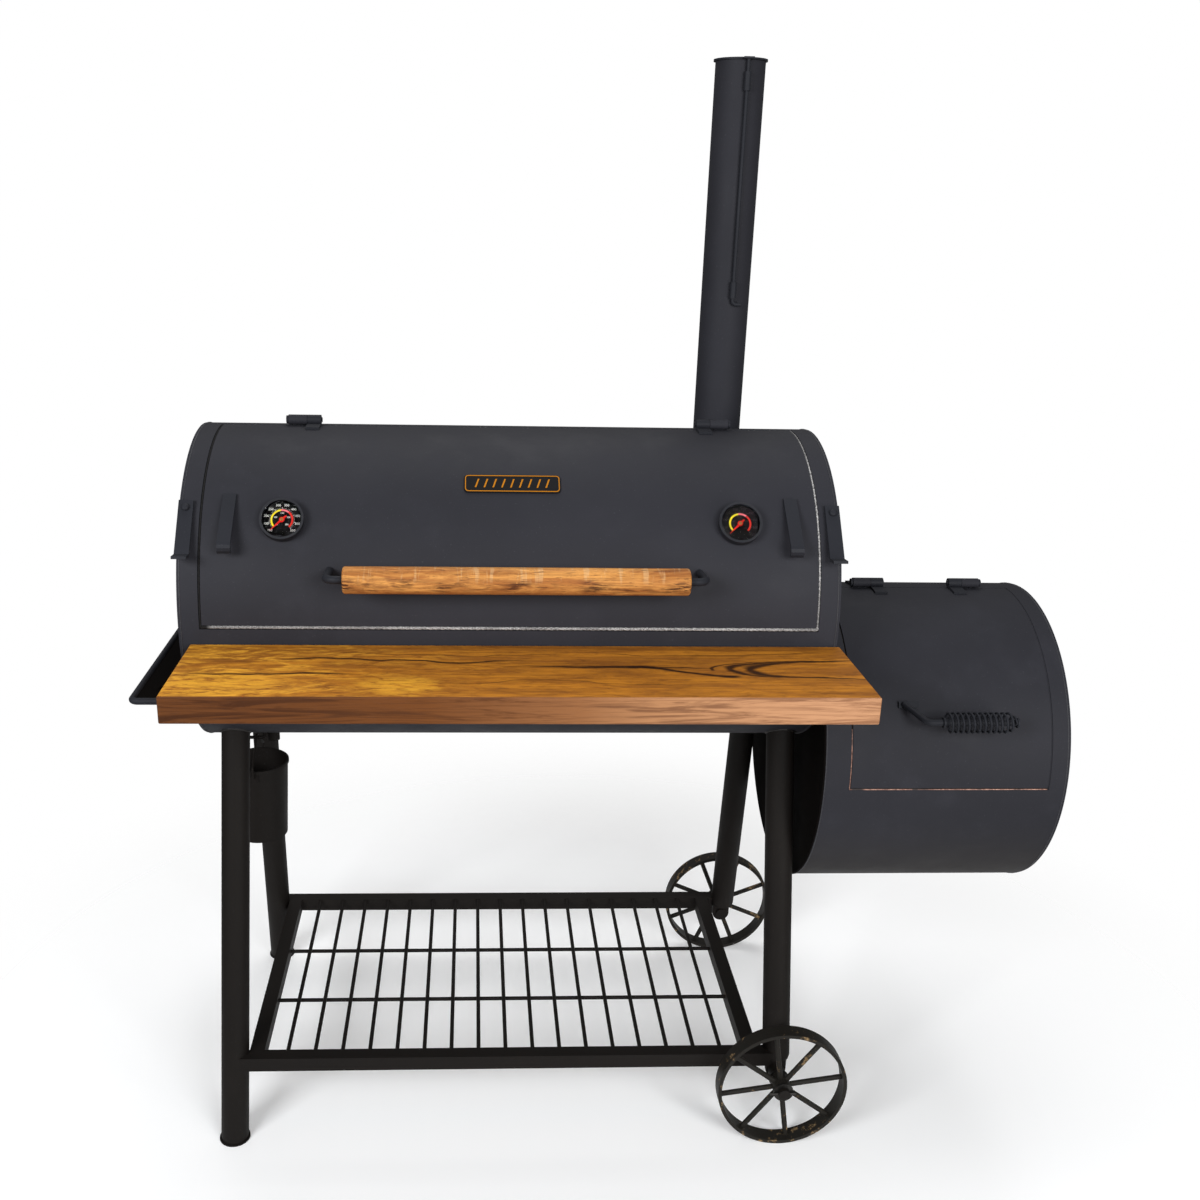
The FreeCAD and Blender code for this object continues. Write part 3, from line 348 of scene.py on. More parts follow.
class ShelfPlank(Plank):
    """The plank: golden at its left, browner at its right, with a nested figure there."""

    GOLD, SPOT_GOLD, HONEY = srgb(238, 170, 56), srgb(236, 172, 54), srgb(196, 126, 38)
    BROWN, UMBER, CHAR = srgb(158, 98, 34), srgb(100, 58, 24), srgb(32, 17, 12)

    # a golden spot's place from the plank's left front corner and its reach, each x then y
    SPOTS = ((0.325, 0.045, 0.055, 0.035), (0.06, 0.05, 0.10, 0.05))

    # a growth line's start, stop and place across, from the plank's middle, then its width
    # to either side and its strength
    GROWTH = ((-0.49, -0.22, -0.022, 0.00480, 0.95), (-0.37, 0.02, 0.040, 0.00512, 0.95),
              (-0.02, 0.30, 0.016, 0.00320, 0.9), (-0.30, 0.10, 0.068, 0.00224, 0.6),
              (-0.12, 0.26, -0.050, 0.00256, 0.5), (0.10, 0.48, 0.070, 0.00288, 0.6))
    GROWTH_SWAY = 0.075
    GROWTH_TAPER = 0.06

    # a nested line's shift to the left, its width, and how far it reaches toward the cook
    NESTED = ((0.0, 0.0120, -0.08), (0.030, 0.0080, -0.025), (0.055, 0.0036, 0.0))
    FIGURE_X, FIGURE_Y = 0.330, 0.004

    def __init__(self):
        super().__init__("shelf_wood")
        self.x, self.y = self.r.axis("X"), self.r.axis("Y")
        self.wander = self.long_noise(5, 16, 16)
        self.clouds = self.long_noise(7, 34, 34, 6, 0.62, 0.8)

    def ground(self):
        """Honey and brown clouds with umber mottle and streaks, and gold toward the left."""
        r = self.r
        mottle = self.long_noise(26, 90, 90, 5, 0.65, 0.9)
        streaks = self.long_noise(2.4, 120, 120, 4, 0.6, 0.5)
        tone = r.mix(r.band(self.clouds, 0.36, 0.64), self.HONEY, self.BROWN)
        tone = self.shade(tone, r.band(mottle, 0.46, 0.68), 0.45, self.UMBER)
        tone = self.shade(tone, r.band(streaks, 0.48, 0.68), 0.35, self.UMBER)
        left = r.band(r.plus(self.x, r.times(self.wander, 0.4)),
                      SHELF_MIDDLE.x + 0.30, SHELF_LOW.x + 0.22)
        blaze = self.long_noise(11, 30, 30, 6, 0.68, 1.6)
        speckled = r.band(mottle, 0.66, 0.40)
        blazing = r.times(r.band(blaze, 0.40, 0.64), speckled)
        tone = self.shade(tone, r.times(blazing, left), 1.0, self.GOLD)
        for spot_x, spot_y, reach_x, reach_y in self.SPOTS:
            off_x = r.over(r.minus(self.x, SHELF_LOW.x + spot_x), reach_x)
            off_y = r.over(r.minus(self.y, SHELF_LOW.y + spot_y), reach_y)
            far = r.plus(r.squared(off_x), r.squared(off_y))
            far = r.plus(far, r.times(r.minus(blaze, 0.5), 5.0))
            spot = r.times(r.band(far, 1.5, 0.0), speckled)
            tone = self.shade(tone, spot, 0.8, self.SPOT_GOLD)
        return tone

    def growth_lines(self, tone):
        """Long thin dark lines that sway along the grain and have gaps."""
        r = self.r
        patchy = r.band(self.long_noise(6, 9, 9, 3, 0.6), 0.26, 0.42)
        for start, stop, height, width, strength in self.GROWTH:
            sway = self.long_noise(5 + 9 * abs(height), 4, 4)
            run = r.plus(self.y, r.times(r.minus(sway, 0.5), self.GROWTH_SWAY))
            first, last = SHELF_MIDDLE.x + start, SHELF_MIDDLE.x + stop
            ends = r.times(r.band(self.x, first, first + self.GROWTH_TAPER),
                           r.band(self.x, last, last - self.GROWTH_TAPER))
            mask = r.times(self.line(run, SHELF_MIDDLE.y + height, width), ends)
            tone = self.shade(tone, r.times(mask, patchy), strength, self.CHAR)
        return tone

    def figure(self, tone):
        """Round-nosed curves nested in each other, open to the right, and a tail at the left."""
        r = self.r
        along = r.minus(self.x, SHELF_MIDDLE.x + self.FIGURE_X)
        along = r.plus(along, r.times(r.minus(self.wander, 0.5), 0.05))
        aside = r.minus(self.y, SHELF_MIDDLE.y + self.FIGURE_Y)
        ripple = self.long_noise(14, 38, 38)
        aside = r.plus(aside, r.times(r.minus(ripple, 0.5), 0.016))
        squared = r.squared(aside)
        nose = r.plus(r.times(squared, 23.0), r.times(r.squared(squared), 60000.0))
        slope = r.plus(r.times(r.size_of(aside), 70.0), 1.0)
        fade = r.times(r.band(along, 0.28, 0.10), 0.95)
        for shift, width, limit in self.NESTED:
            cup = r.over(r.minus(nose, r.plus(along, shift)), slope)
            kept = r.band(aside, limit - 0.008, limit)
            mask = r.times(self.line(cup, 0.0, width), r.times(fade, kept))
            tone = self.shade(tone, mask, 1.0, self.CHAR)
        climb = r.band(along, -0.025, -0.16)
        tail = r.minus(aside, r.minus(r.times(climb, 0.040), 0.030))
        behind = r.times(r.band(along, -0.010, -0.03), r.band(along, -0.40, -0.16))
        mask = r.times(self.line(tail, 0.0, 0.0076), behind)
        return self.shade(tone, mask, 1.0, self.CHAR)

    def front_edge(self):
        """The sawn edge: darker than the top, and paler to the right with painted light from a low
        lamp at the right front.
        """
        r = self.r
        across = r.band(self.x, SHELF_LOW.x, SHELF_HIGH.x)
        # painted light: both ramps brighten to the right as if lit from low at the right front
        edge = r.ramp(across, ((0.0, srgb(94, 56, 30)), (0.3, srgb(104, 62, 32)),
                               (0.62, srgb(138, 92, 58)), (0.8, srgb(172, 124, 86)),
                               (1.0, srgb(186, 138, 102))))
        deep = r.ramp(across, ((0.0, srgb(66, 38, 22)), (0.5, srgb(92, 56, 32)),
                               (1.0, srgb(140, 98, 70))))
        grain = self.long_noise(5, 90, 90, 5, 0.62, 1.2)
        edge = r.mix(r.band(grain, 0.44, 0.62), edge, deep)
        hair = self.long_noise(14, 520, 520, 3, 0.6)
        return r.mix(r.times(r.band(hair, 0.5, 0.64), 0.4), edge, deep)

    def recipe(self):
        r = self.r
        tone = self.figure(self.growth_lines(self.ground()))
        tone = self.fibre(tone, self.UMBER, r.band(self.clouds, 0.3, 0.6))
        front = r.band(self.y, SHELF_LOW.y + 0.003, SHELF_LOW.y + 0.001)
        r.colour(r.mix(front, tone, self.front_edge()))
        return r


def grip_stick():
    """The lid's grip: paler, scratched across with a painted highlight along its top, with short
    dark flecks in a belt low on it.
    """
    plank = Plank("grip_wood")
    r = plank.r
    z = r.axis("Z")
    low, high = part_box("handle_grip")
    pale, tan, dark = srgb(208, 146, 78), srgb(162, 102, 52), srgb(54, 28, 24)
    clouds = plank.long_noise(9, 60, 60, 5, 0.65, 0.9)
    tone = r.mix(r.band(clouds, 0.36, 0.64), pale, tan)
    scratches = plank.long_noise(120, 14, 14, 3, 0.65)
    # pale scratches that strengthen toward the top: real scratches, and a painted highlight along
    # the lit top
    lit_top = r.band(z, low.z + 0.018, high.z - 0.008)
    scratches_and_highlight = r.times(r.band(scratches, 0.54, 0.66), lit_top)
    tone = plank.shade(tone, scratches_and_highlight, 0.5, srgb(214, 172, 122))
    belt = r.times(r.band(z, low.z + 0.004, low.z + 0.012),
                   r.band(z, low.z + 0.030, low.z + 0.020))
    patches = r.band(plank.long_noise(7, 12, 12, 3, 0.6, 0.6), 0.44, 0.58)
    belt = r.times(belt, patches)
    flecks = plank.long_noise(34, 300, 300, 4, 0.65, 0.6)
    tone = plank.shade(tone, r.times(r.band(flecks, 0.43, 0.55), belt), 0.9, dark)
    tone = plank.shade(tone, r.band(flecks, 0.58, 0.70), 0.6, dark)
    blotch = plank.long_noise(13, 60, 60, 4, 0.65, 0.5)
    tone = plank.shade(tone, r.band(blotch, 0.56, 0.70), 0.45, srgb(112, 62, 40))
    plank.fibre(tone, dark, r.band(scratches, 0.3, 0.6))
    return r


shelf_wood = ShelfPlank().recipe()
grip_wood = grip_stick()


def woven_rope():
    """Glass-fibre rope: grey-white with grey patches, and sooted black up the lid's left."""
    r = Recipe("woven_rope", srgb(150, 148, 146), 0.9, specular=0.2)
    weave = r.noise(520, 3, 0.6)
    soot = r.band(r.noise(7, 4, 0.6), 0.42, 0.62)
    tone = r.mix(r.band(weave, 0.35, 0.65), srgb(96, 94, 94), srgb(186, 184, 182))
    tone = r.mix(r.times(soot, 0.5), tone, srgb(84, 82, 82))
    left = r.band(r.axis("X"), BARREL.left + 0.046, BARREL.left + 0.037)
    r.colour(r.mix(left, tone, srgb(24, 23, 23)))
    r.bump(weave, 0.0004)
    return r


def printed(name, colour):
    """Print on a dial: a flat ink with a faint mottle."""
    r = Recipe(name, colour, 0.6, specular=0.15)
    r.colour(r.mix(r.noise(1500, 2), scaled(colour, 0.86), colour))
    return r


rope = woven_rope()
case_paint = heat_paint("case_paint", srgb(30, 31, 36), 0.42, specular=0.4, dusty=0.2)
dial_black = printed("dial_black", srgb(7, 7, 9))
ink_white = printed("ink_white", srgb(238, 236, 230))
ink_grey = printed("ink_grey", srgb(62, 58, 58))
ink_yellow = printed("ink_yellow", srgb(226, 208, 40))
ink_pink = printed("ink_pink", srgb(232, 120, 128))
ink_red = printed("ink_red", srgb(206, 44, 32))
needle_red = printed("needle_red", srgb(214, 30, 22))
amber = printed("amber", srgb(178, 112, 10))
badge_enamel = printed("badge_enamel", srgb(13, 13, 16))


def clear_glass():
    """The thin flat lenses: they hardly bend light, and are a little smeared."""
    r = Recipe("clear_glass", (1, 1, 1), 0.03)
    r.shader.inputs["Transmission Weight"].default_value = 1.0
    r.shader.inputs["IOR"].default_value = 1.05
    r.rough(r.noise(60), 0.02, 0.08)
    return r


glass = clear_glass()


def bare_seam():
    """The ground edge of a plate: coppery, part rusted, part sooted."""
    r = Recipe("bare_seam", srgb(168, 116, 98), 0.5, metallic=0.3)
    spots = r.noise(140, 5, 0.7)
    tone = r.mix(r.band(spots, 0.4, 0.6), srgb(120, 84, 72), srgb(186, 142, 124))
    r.colour(r.mix(r.band(r.noise(30, 4), 0.5, 0.66), tone, srgb(52, 44, 42)))
    r.bump(spots, 0.0001)
    return r


seam_metal = bare_seam()


def weld_metal(name, colour):
    """Painted weld: blotchy and grainy."""
    r = Recipe(name, colour, 0.5, specular=0.4)
    r.colour(r.mix(r.noise(200, 4), scaled(colour, 0.7), scaled(colour, 1.25)))
    r.bump(r.noise(700), 0.0002)
    return r


chamber_weld = weld_metal("chamber_weld", CHAMBER)
stand_weld = weld_metal("stand_weld", SHADED_STAND)

LOOKS = {
    chamber_paint: ("main_barrel", "barrel_end_left", "barrel_end_right", "firebox_shell",
                    "firebox_end_right", "chimney_pipe", "hinge_bases"),
    shade_black_paint: ("firebox_end_left", "hanger_plate"),
    lid_paint: ("lid_plate", "firebox_door"),
    fitting_paint: ("lid_hinge_straps", "door_hinge_straps", "lid_keepers", "latch_left",
                    "latch_right", "latch_posts", "cap_rod", "chimney_cap", "cap_rod_guides",
                    "handle_rod", "door_handle_rod", "air_damper", "hinge_pins", "shelf_frame"),
    stand_paint: ("legs_left", "legs_right", "foot_plates", "axle_lugs", "shelf_brackets",
                  "lower_rails_long", "lower_rails_side", "lower_shelf_rods", "drain_spout",
                  "bucket_hook", "bucket_bail", "stub_axles"),
    wheel_paint: ("front_wheel", "rear_wheel"),
    bucket_paint: ("bucket_pail",),
    fire_steel: ("cooking_grates", "fire_grate", "grate_ledges", "lid_stop_frame",
                 "door_stop_frame"),
    zinc: ("shelf_screws", "thermometer_probes"),
    dark_zinc: ("axle_washers", "cotter_pins", "damper_pivot"),
    shelf_wood: ("front_shelf",), grip_wood: ("handle_grip",),
    case_paint: ("thermometer_cases",), dial_black: ("thermometer_dials",),
    needle_red: ("pointer_left", "pointer_right"), glass: ("thermometer_lenses",),
}
for recipe, names in LOOKS.items():
    for name in names:
        mesh = NODES[name].data
        mesh.materials.clear()
        mesh.materials.append(recipe.material)


# ---------------------------------------------------------------- mesh helpers

def piece(name, mesh, recipe, body, replaces=()):
    """Puts a finished mesh in the scene, gives it its look and its body."""
    made = bpy.data.objects.new(name, mesh)
    bpy.context.scene.collection.objects.link(made)
    mesh.materials.clear()
    mesh.materials.append(recipe.material)
    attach(made, body)
    if replaces:
        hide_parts(*replaces)
    return made


def mesh_from(name, verts, faces, smooth=True):
    """A mesh with its faces turned outward."""
    mesh = bpy.data.meshes.new(name)
    mesh.from_pydata([tuple(v) for v in verts], [], faces)
    mesh.validate()
    work = bmesh.new()
    work.from_mesh(mesh)
    bmesh.ops.recalc_face_normals(work, faces=work.faces)
    work.to_mesh(mesh)
    work.free()
    mesh.polygons.foreach_set("use_smooth", [smooth] * len(mesh.polygons))
    return mesh


class Sweep:
    """Collects tubes swept along paths into one mesh."""

    def __init__(self):
        self.verts = []
        self.faces = []

    START_SIDE = Vector((0.31, 0.57, 0.76))    # lies along none of the paths

    def tube(self, points, radius, sides, closed=False):
        """radius is a number, or a function of (step, angle) for a shaped section."""
        points = [Vector(p) for p in points]
        count = len(points)
        start = len(self.verts)
        side = self.START_SIDE
        for i, point in enumerate(points):
            before = points[i - 1] if (i or closed) else point
            after = points[(i + 1) % count] if (i < count - 1 or closed) else point
            ahead = (after - before).normalized()
            side = (side - ahead * side.dot(ahead)).normalized()
            other = ahead.cross(side)
            for k in range(sides):
                angle = 2 * math.pi * k / sides
                r = radius(i, angle) if callable(radius) else radius
                self.verts.append(point + side * (r * math.cos(angle))
                                  + other * (r * math.sin(angle)))
        rows = count if closed else count - 1
        for i in range(rows):
            a = start + i * sides
            b = start + (i + 1) % count * sides
            for k in range(sides):
                n = (k + 1) % sides
                self.faces.append((a + k, a + n, b + n, b + k))
        if not closed:
            last = start + (count - 1) * sides
            self.faces.append(tuple(range(start, start + sides))[::-1])
            self.faces.append(tuple(range(last, last + sides)))
        return self

    def mesh(self, name):
        return mesh_from(name, self.verts, self.faces)


def resample(points, gap, closed=False):
    """The same path with its points about one gap apart."""
    points = [Vector(p) for p in points]
    ends = points[1:] + (points[:1] if closed else [])
    made = []
    for a, b in zip(points, ends):
        steps = max(1, round((b - a).length / gap))
        made += [a.lerp(b, n / steps) for n in range(steps)]
    if not closed:
        made.append(points[-1])
    return made


def bead(sweep, points, size):
    """A weld bead round a closed path: a tube with the ripples that the electrode leaves."""
    def ripple(step, _angle):
        return size * (0.86 + 0.14 * math.sin(step * 1.9) + 0.07 * math.sin(step * 0.61))
    sweep.tube(resample(points, size * 0.55, closed=True), ripple, 7, closed=True)


# ---------------------------------------------------------------- the rope in the lid's seam

def arc_up(drum, x, start, end, radius, steps):
    """Points along a drum's skin at one x, from one elevation to another."""
    return [drum.at(x, start + (end - start) * n / steps, radius) for n in range(steps + 1)]


def seal_rope():
    """A three-strand rope in the gap all round the lid, thinner up its sides."""
    low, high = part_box("lid_seal")
    lid_low, lid_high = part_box("lid_plate")
    depth = BARREL.radius - 2.1 * MM
    thick, side_share = 2.55 * MM, 0.68
    left = (low.x + lid_low.x) / 2
    right = (high.x + lid_high.x) / 2
    foot, top = -0.2, 90.95
    path = arc_up(BARREL, left, top, foot, depth, 60) + arc_up(BARREL, right, foot, top, depth, 60)
    path = resample(path, 1.25 * MM, closed=True)

    def strands(step, angle):
        twist = math.cos(3 * angle - step * 0.9)
        share = 1.0 if path[step].z < BARREL.z + 2 * MM else side_share
        return thick * share * (0.96 + 0.14 * twist + 0.05 * math.sin(step * 0.23))
    sweep = Sweep().tube(path, strands, 8, closed=True)
    piece("seal_rope", sweep.mesh("seal_rope"), rope, "frame", ["lid_seal"])


seal_rope()


# ---------------------------------------------------------------- the firebox door's gap

def door_seams():
    """The opening's edges: ground to bare metal low at its left and along its foot, and a
    painted lip up its right."""
    low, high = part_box("firebox_door")
    depth = FIREBOX.radius - 1.4 * MM
    clear = 1.3 * MM
    spacing = 6 * MM
    thin, thick = 0.75 * MM, 1.15 * MM
    left, right = low.x - clear, high.x + clear
    foot = -0.15
    edges = Sweep()
    edges.tube(resample([FIREBOX.at(left, foot + 2 * n, depth) for n in range(12)], spacing),
               thin, 6)
    edges.tube(resample([FIREBOX.at(left, foot, depth), FIREBOX.at(high.x, foot, depth)],
                        spacing), thick, 6)
    piece("door_seam_edges", edges.mesh("door_seam_edges"), seam_metal, "frame")

    top = math.degrees(math.asin(min(1.0, (high.z - FIREBOX.z) / FIREBOX.radius)))
    lip = Sweep().tube(resample(arc_up(FIREBOX, right, foot, top, depth, 48), spacing), thick, 8)
    piece("door_gap_lip", lip.mesh("door_gap_lip"), chamber_paint, "frame")


door_seams()


# ---------------------------------------------------------------- thermometers

class Face:
    """A flat frame on a drum: right is +X, up runs up the skin, out is the normal."""

    def __init__(self, drum, x, elevation, lift):
        angle = math.radians(elevation)
        self.out = Vector((0, -math.cos(angle), math.sin(angle)))
        self.up = Vector((0, math.sin(angle), math.cos(angle)))
        self.right = Vector((1, 0, 0))
        self.origin = drum.at(x, elevation, drum.radius + lift)

    def at(self, radius, degrees, lift):
        angle = math.radians(degrees)
        return (self.origin + self.right * (radius * math.cos(angle))
                + self.up * (radius * math.sin(angle)) + self.out * lift)

    def matrix(self, radius, degrees, lift):
        """Places something flat on the face, upright."""
        spot = self.at(radius, degrees, lift)
        return Matrix((
            (self.right.x, self.up.x, self.out.x, spot.x),
            (self.right.y, self.up.y, self.out.y, spot.y),
            (self.right.z, self.up.z, self.out.z, spot.z),
            (0, 0, 0, 1)))


PRINT_THICK = 0.12 * MM
NUMERAL_THICK = 0.05 * MM
SCALE_START, SCALE_END = 225, -45
SCALE_STEPS, STEPS_PER_LONG_TICK = 40, 5


def scale_degrees(share):
    """Where a share of the dial's full scale is."""
    return SCALE_START + (SCALE_END - SCALE_START) * share


def arc_band(face, inner, outer, start, end):
    """A printed arc as a thin closed band."""
    steps = max(2, round(abs(end - start) / 4))
    verts = []
    for n in range(steps + 1):
        degrees = start + (end - start) * n / steps
        for radius, lift in ((inner, 0), (outer, 0), (outer, PRINT_THICK), (inner, PRINT_THICK)):
            verts.append(face.at(radius, degrees, lift))
    faces = [(0, 1, 2, 3), tuple(4 * steps + k for k in (3, 2, 1, 0))]
    for n in range(steps):
        for k in range(4):
            a, b = 4 * n + k, 4 * n + (k + 1) % 4
            faces.append((a, b, b + 4, a + 4))
    return verts, faces


def joined(parts):
    """Several (points, faces) pairs as one."""
    verts, faces = [], []
    for part_verts, part_faces in parts:
        shift = len(verts)
        verts += part_verts
        faces += [tuple(i + shift for i in face) for face in part_faces]
    return verts, faces


def numerals(face, labels, radius, size):
    """Numbers set round a dial, each upright, as one mesh."""
    verts, faces = [], []
    for number, label in enumerate(labels):
        degrees = scale_degrees(number / (len(labels) - 1))
        curve = bpy.data.curves.new("numeral", "FONT")
        curve.body = label
        curve.size = size
        curve.align_x = "CENTER"
        curve.align_y = "CENTER"
        curve.extrude = NUMERAL_THICK
        curve.resolution_u = 3
        holder = bpy.data.objects.new("numeral", curve)
        bpy.context.scene.collection.objects.link(holder)
        bpy.context.view_layer.update()
        graph = bpy.context.evaluated_depsgraph_get()
        mesh = bpy.data.meshes.new_from_object(holder.evaluated_get(graph))
        matrix = face.matrix(radius, degrees, 0.06 * MM)
        shift = len(verts)
        verts += [matrix @ v.co for v in mesh.vertices]
        faces += [tuple(i + shift for i in p.vertices) for p in mesh.polygons]
        bpy.data.objects.remove(holder)
        bpy.data.curves.remove(curve)
        bpy.data.meshes.remove(mesh)
    return verts, faces


DIAL_ARCS = (("yellow", ink_yellow, 225, 98), ("pink", ink_pink, 97.5, 52),
             ("red", ink_red, 51.5, -45))
ARC_RADII = 14.2 * MM, 17.0 * MM
TICK_INNER, TICK_OUTER, LONG_TICK_OUTER = 17.8 * MM, 19.0 * MM, 20.2 * MM
TICK_HALF, LONG_TICK_HALF = 0.5, 0.9                # degrees
OUTER_NUMBERS = [str(value) for value in range(100, 551, 50)]
INNER_NUMBERS = [str(value) for value in range(50, 251, 50)]
NEEDLE_CAP = ((2.35 * MM, 2.6 * MM), (2.7 * MM, 2.5 * MM), (2.95 * MM, 1.4 * MM))


def dial_print(side, face, ink):
    """One dial's coloured arcs, ticks and numbers, and the cap on its needle."""
    for word, recipe, start, end in DIAL_ARCS:
        band = arc_band(face, *ARC_RADII, start, end)
        piece(f"dial_{word}_{side}", mesh_from("arc", *band, smooth=False), recipe, "lid")
    marks = []
    for n in range(SCALE_STEPS + 1):
        degrees = scale_degrees(n / SCALE_STEPS)
        is_long = n % STEPS_PER_LONG_TICK == 0
        outer = LONG_TICK_OUTER if is_long else TICK_OUTER
        half = LONG_TICK_HALF if is_long else TICK_HALF
        marks.append(arc_band(face, TICK_INNER, outer, degrees + half, degrees - half))
    marks.append(numerals(face, OUTER_NUMBERS, 24.0 * MM, 5.2 * MM))
    marks.append(numerals(face, INNER_NUMBERS, 10.6 * MM, 3.6 * MM))
    piece(f"dial_numbers_{side}", mesh_from("numbers", *joined(marks), smooth=False), ink, "lid")
    cap = Sweep().tube([face.at(0, 0, lift) for lift, _ in NEEDLE_CAP],
                       lambda step, _angle: NEEDLE_CAP[step][1], 24)
    piece(f"needle_cap_{side}", cap.mesh("needle_cap"), brass, "lid")


CASE_RADIUS = 33 * MM
DIAL_ELEVATION, DIAL_LIFT = 35.4, 7.52 * MM


def thermometers():
    low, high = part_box("thermometer_cases")
    reach = (high.x - low.x) / 2 - CASE_RADIUS
    for side, way, ink in (("left", -1, ink_white), ("right", 1, ink_grey)):
        face = Face(BARREL, BARREL.middle + way * reach, DIAL_ELEVATION, DIAL_LIFT)
        dial_print(side, face, ink)


thermometers()


# ---------------------------------------------------------------- coil handle on the firebox door

def door_coil():
    """Wire wound round the door's handle rod, closing onto it at both ends."""
    low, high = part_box("door_handle_coil")
    middle = (low + high) / 2
    wire = 1.85 * MM
    wide = (high.y - low.y) / 2 - wire
    tight = 5.2 * MM + wire
    turns, steps_per_turn = 12.5, 28
    closing_left, closing_right = 0.2, 1.2              # turns
    start = low.x + 1.5 * MM + wire
    length = high.x - wire - start
    count = round(turns * steps_per_turn)
    points = []
    for n in range(count + 1):
        share = n / count
        opened = min(1.0, share * turns / closing_left, (1 - share) * turns / closing_right)
        radius = tight + (wide - tight) * opened ** 0.8
        angle = 2 * math.pi * n / steps_per_turn
        points.append((start + length * share, middle.y + radius * math.cos(angle),
                       middle.z + radius * math.sin(angle)))
    coil = Sweep().tube(points, wire, 10)
    piece("door_coil_grip", coil.mesh("door_coil_grip"), fitting_paint, "firebox_door",
          ["door_handle_coil"])


door_coil()


# ---------------------------------------------------------------- badge

def badge_plate():
    """A plain plate with an amber rim and slanting bars; it carries no lettering."""
    low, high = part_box("badge")
    centre_x = (low.x + high.x) / 2
    half_width, half_height, corner = (high.x - low.x) / 2, 17.0 * MM, 7 * MM
    elevation = 50.6
    back, shoulder, front = 0.3 * MM, 2.0 * MM, 2.4 * MM
    sunk, proud = 2.2 * MM, 2.9 * MM                    # the trim's bottom and top
    rim_outer, rim_inner = 1.6 * MM, 3.0 * MM

    def wrap(u, v, lift):
        """A point given along and up the barrel's skin from the badge's middle."""
        return BARREL.at(centre_x + u, elevation + math.degrees(v / BARREL.radius),
                         BARREL.radius + lift)

    def outline(inset):
        reach = corner - inset
        spots = []
        for cx, cy, start in ((1, 1, 0), (-1, 1, 90), (-1, -1, 180), (1, -1, 270)):
            for n in range(7):
                angle = math.radians(start + 15 * n)
                spots.append((cx * (half_width - corner) + reach * math.cos(angle),
                              cy * (half_height - corner) + reach * math.sin(angle)))
        return spots

    def strip(rows):
        """Bands between outlines at given insets and lifts, and how many points each has."""
        verts = [wrap(u, v, lift) for inset, lift in rows for u, v in outline(inset)]
        count = len(verts) // len(rows)
        faces = []
        for row in range(len(rows) - 1):
            for k in range(count):
                n = (k + 1) % count
                a, b = row * count, (row + 1) * count
                faces.append((a + k, a + n, b + n, b + k))
        return verts, faces, count

    verts, faces, count = strip([(0, back), (0, shoulder), (0.5 * MM, front), (3 * MM, front)])
    for first in (0, 3 * count):
        faces.append(tuple(range(first, first + count)))
    piece("badge_plate", mesh_from("badge_plate", verts, faces, smooth=False), badge_enamel, "lid",
          ["badge"])

    rim, rim_faces, count = strip([(rim_outer, sunk), (rim_outer, proud), (rim_inner, proud),
                                   (rim_inner, sunk)])
    for k in range(count):
        n = (k + 1) % count
        rim_faces.append((3 * count + k, 3 * count + n, n, k))
    parts = [(rim, rim_faces)]
    bar_pitch, bar_half, bar_reach, slant = 13.5, 1.2, 8, 0.3      # millimetres; slant a ratio
    for number in range(-4, 5):
        corners = []
        for lift in (sunk, proud):
            for u, v in ((-bar_half, -bar_reach), (bar_half, -bar_reach),
                         (bar_half, bar_reach), (-bar_half, bar_reach)):
                corners.append(wrap((number * bar_pitch + u + v * slant) * MM, v * MM, lift))
        parts.append((corners, [(0, 1, 2, 3), (7, 6, 5, 4), (0, 1, 5, 4), (1, 2, 6, 5),
                                (2, 3, 7, 6), (3, 0, 4, 7)]))
    piece("badge_trim", mesh_from("badge_trim", *joined(parts), smooth=False), amber, "lid")


badge_plate()


# ---------------------------------------------------------------- weld beads

END_BEAD, PIPE_BEAD, LEG_BEAD = 1.5 * MM, 2.4 * MM, 2.6 * MM
LEG_RADIUS = 23.4 * MM
LEG_TOP_X = {"legs_left": -0.450, "legs_right": 0.459}      # from the barrel's middle
LEG_TOP_Y, LEG_TOP_Z = 0.130, 0.690


def ring(centre, radius, u, v, steps):
    """Points of a circle in the plane of two unit vectors."""
    return [centre + u * (radius * math.cos(2 * math.pi * n / steps))
            + v * (radius * math.sin(2 * math.pi * n / steps)) for n in range(steps)]


def meet_drum(drum, foot, along, radius):
    """The curve where a round tube, given by a point and direction, meets a drum's skin."""
    along = along.normalized()
    side = along.cross(Vector((1, 0, 0))).normalized()
    curve = []
    for p in ring(foot, radius, side, along.cross(side), 40):
        y, z = p.y - drum.y, p.z - drum.z
        a = along.y ** 2 + along.z ** 2
        b = 2 * (y * along.y + z * along.z)
        c = y * y + z * z - drum.radius ** 2
        reach = (-b - math.sqrt(max(0.0, b * b - 4 * a * c))) / (2 * a)
        curve.append(p + along * reach)
    return curve


def leg_line(node, side):
    """A point at a leg's foot and the way from there to its top; side is -1 at the front."""
    points = [v.co for v in NODES[node].data.vertices if (v.co.y - BARREL.y) * side > 0]
    lowest = min(p.z for p in points)
    foot_ring = [p for p in points if p.z < lowest + 1 * MM]
    foot = sum(foot_ring, Vector()) / len(foot_ring)
    top = Vector((BARREL.middle + LEG_TOP_X[node], BARREL.y + side * LEG_TOP_Y, LEG_TOP_Z))
    return foot, top - foot


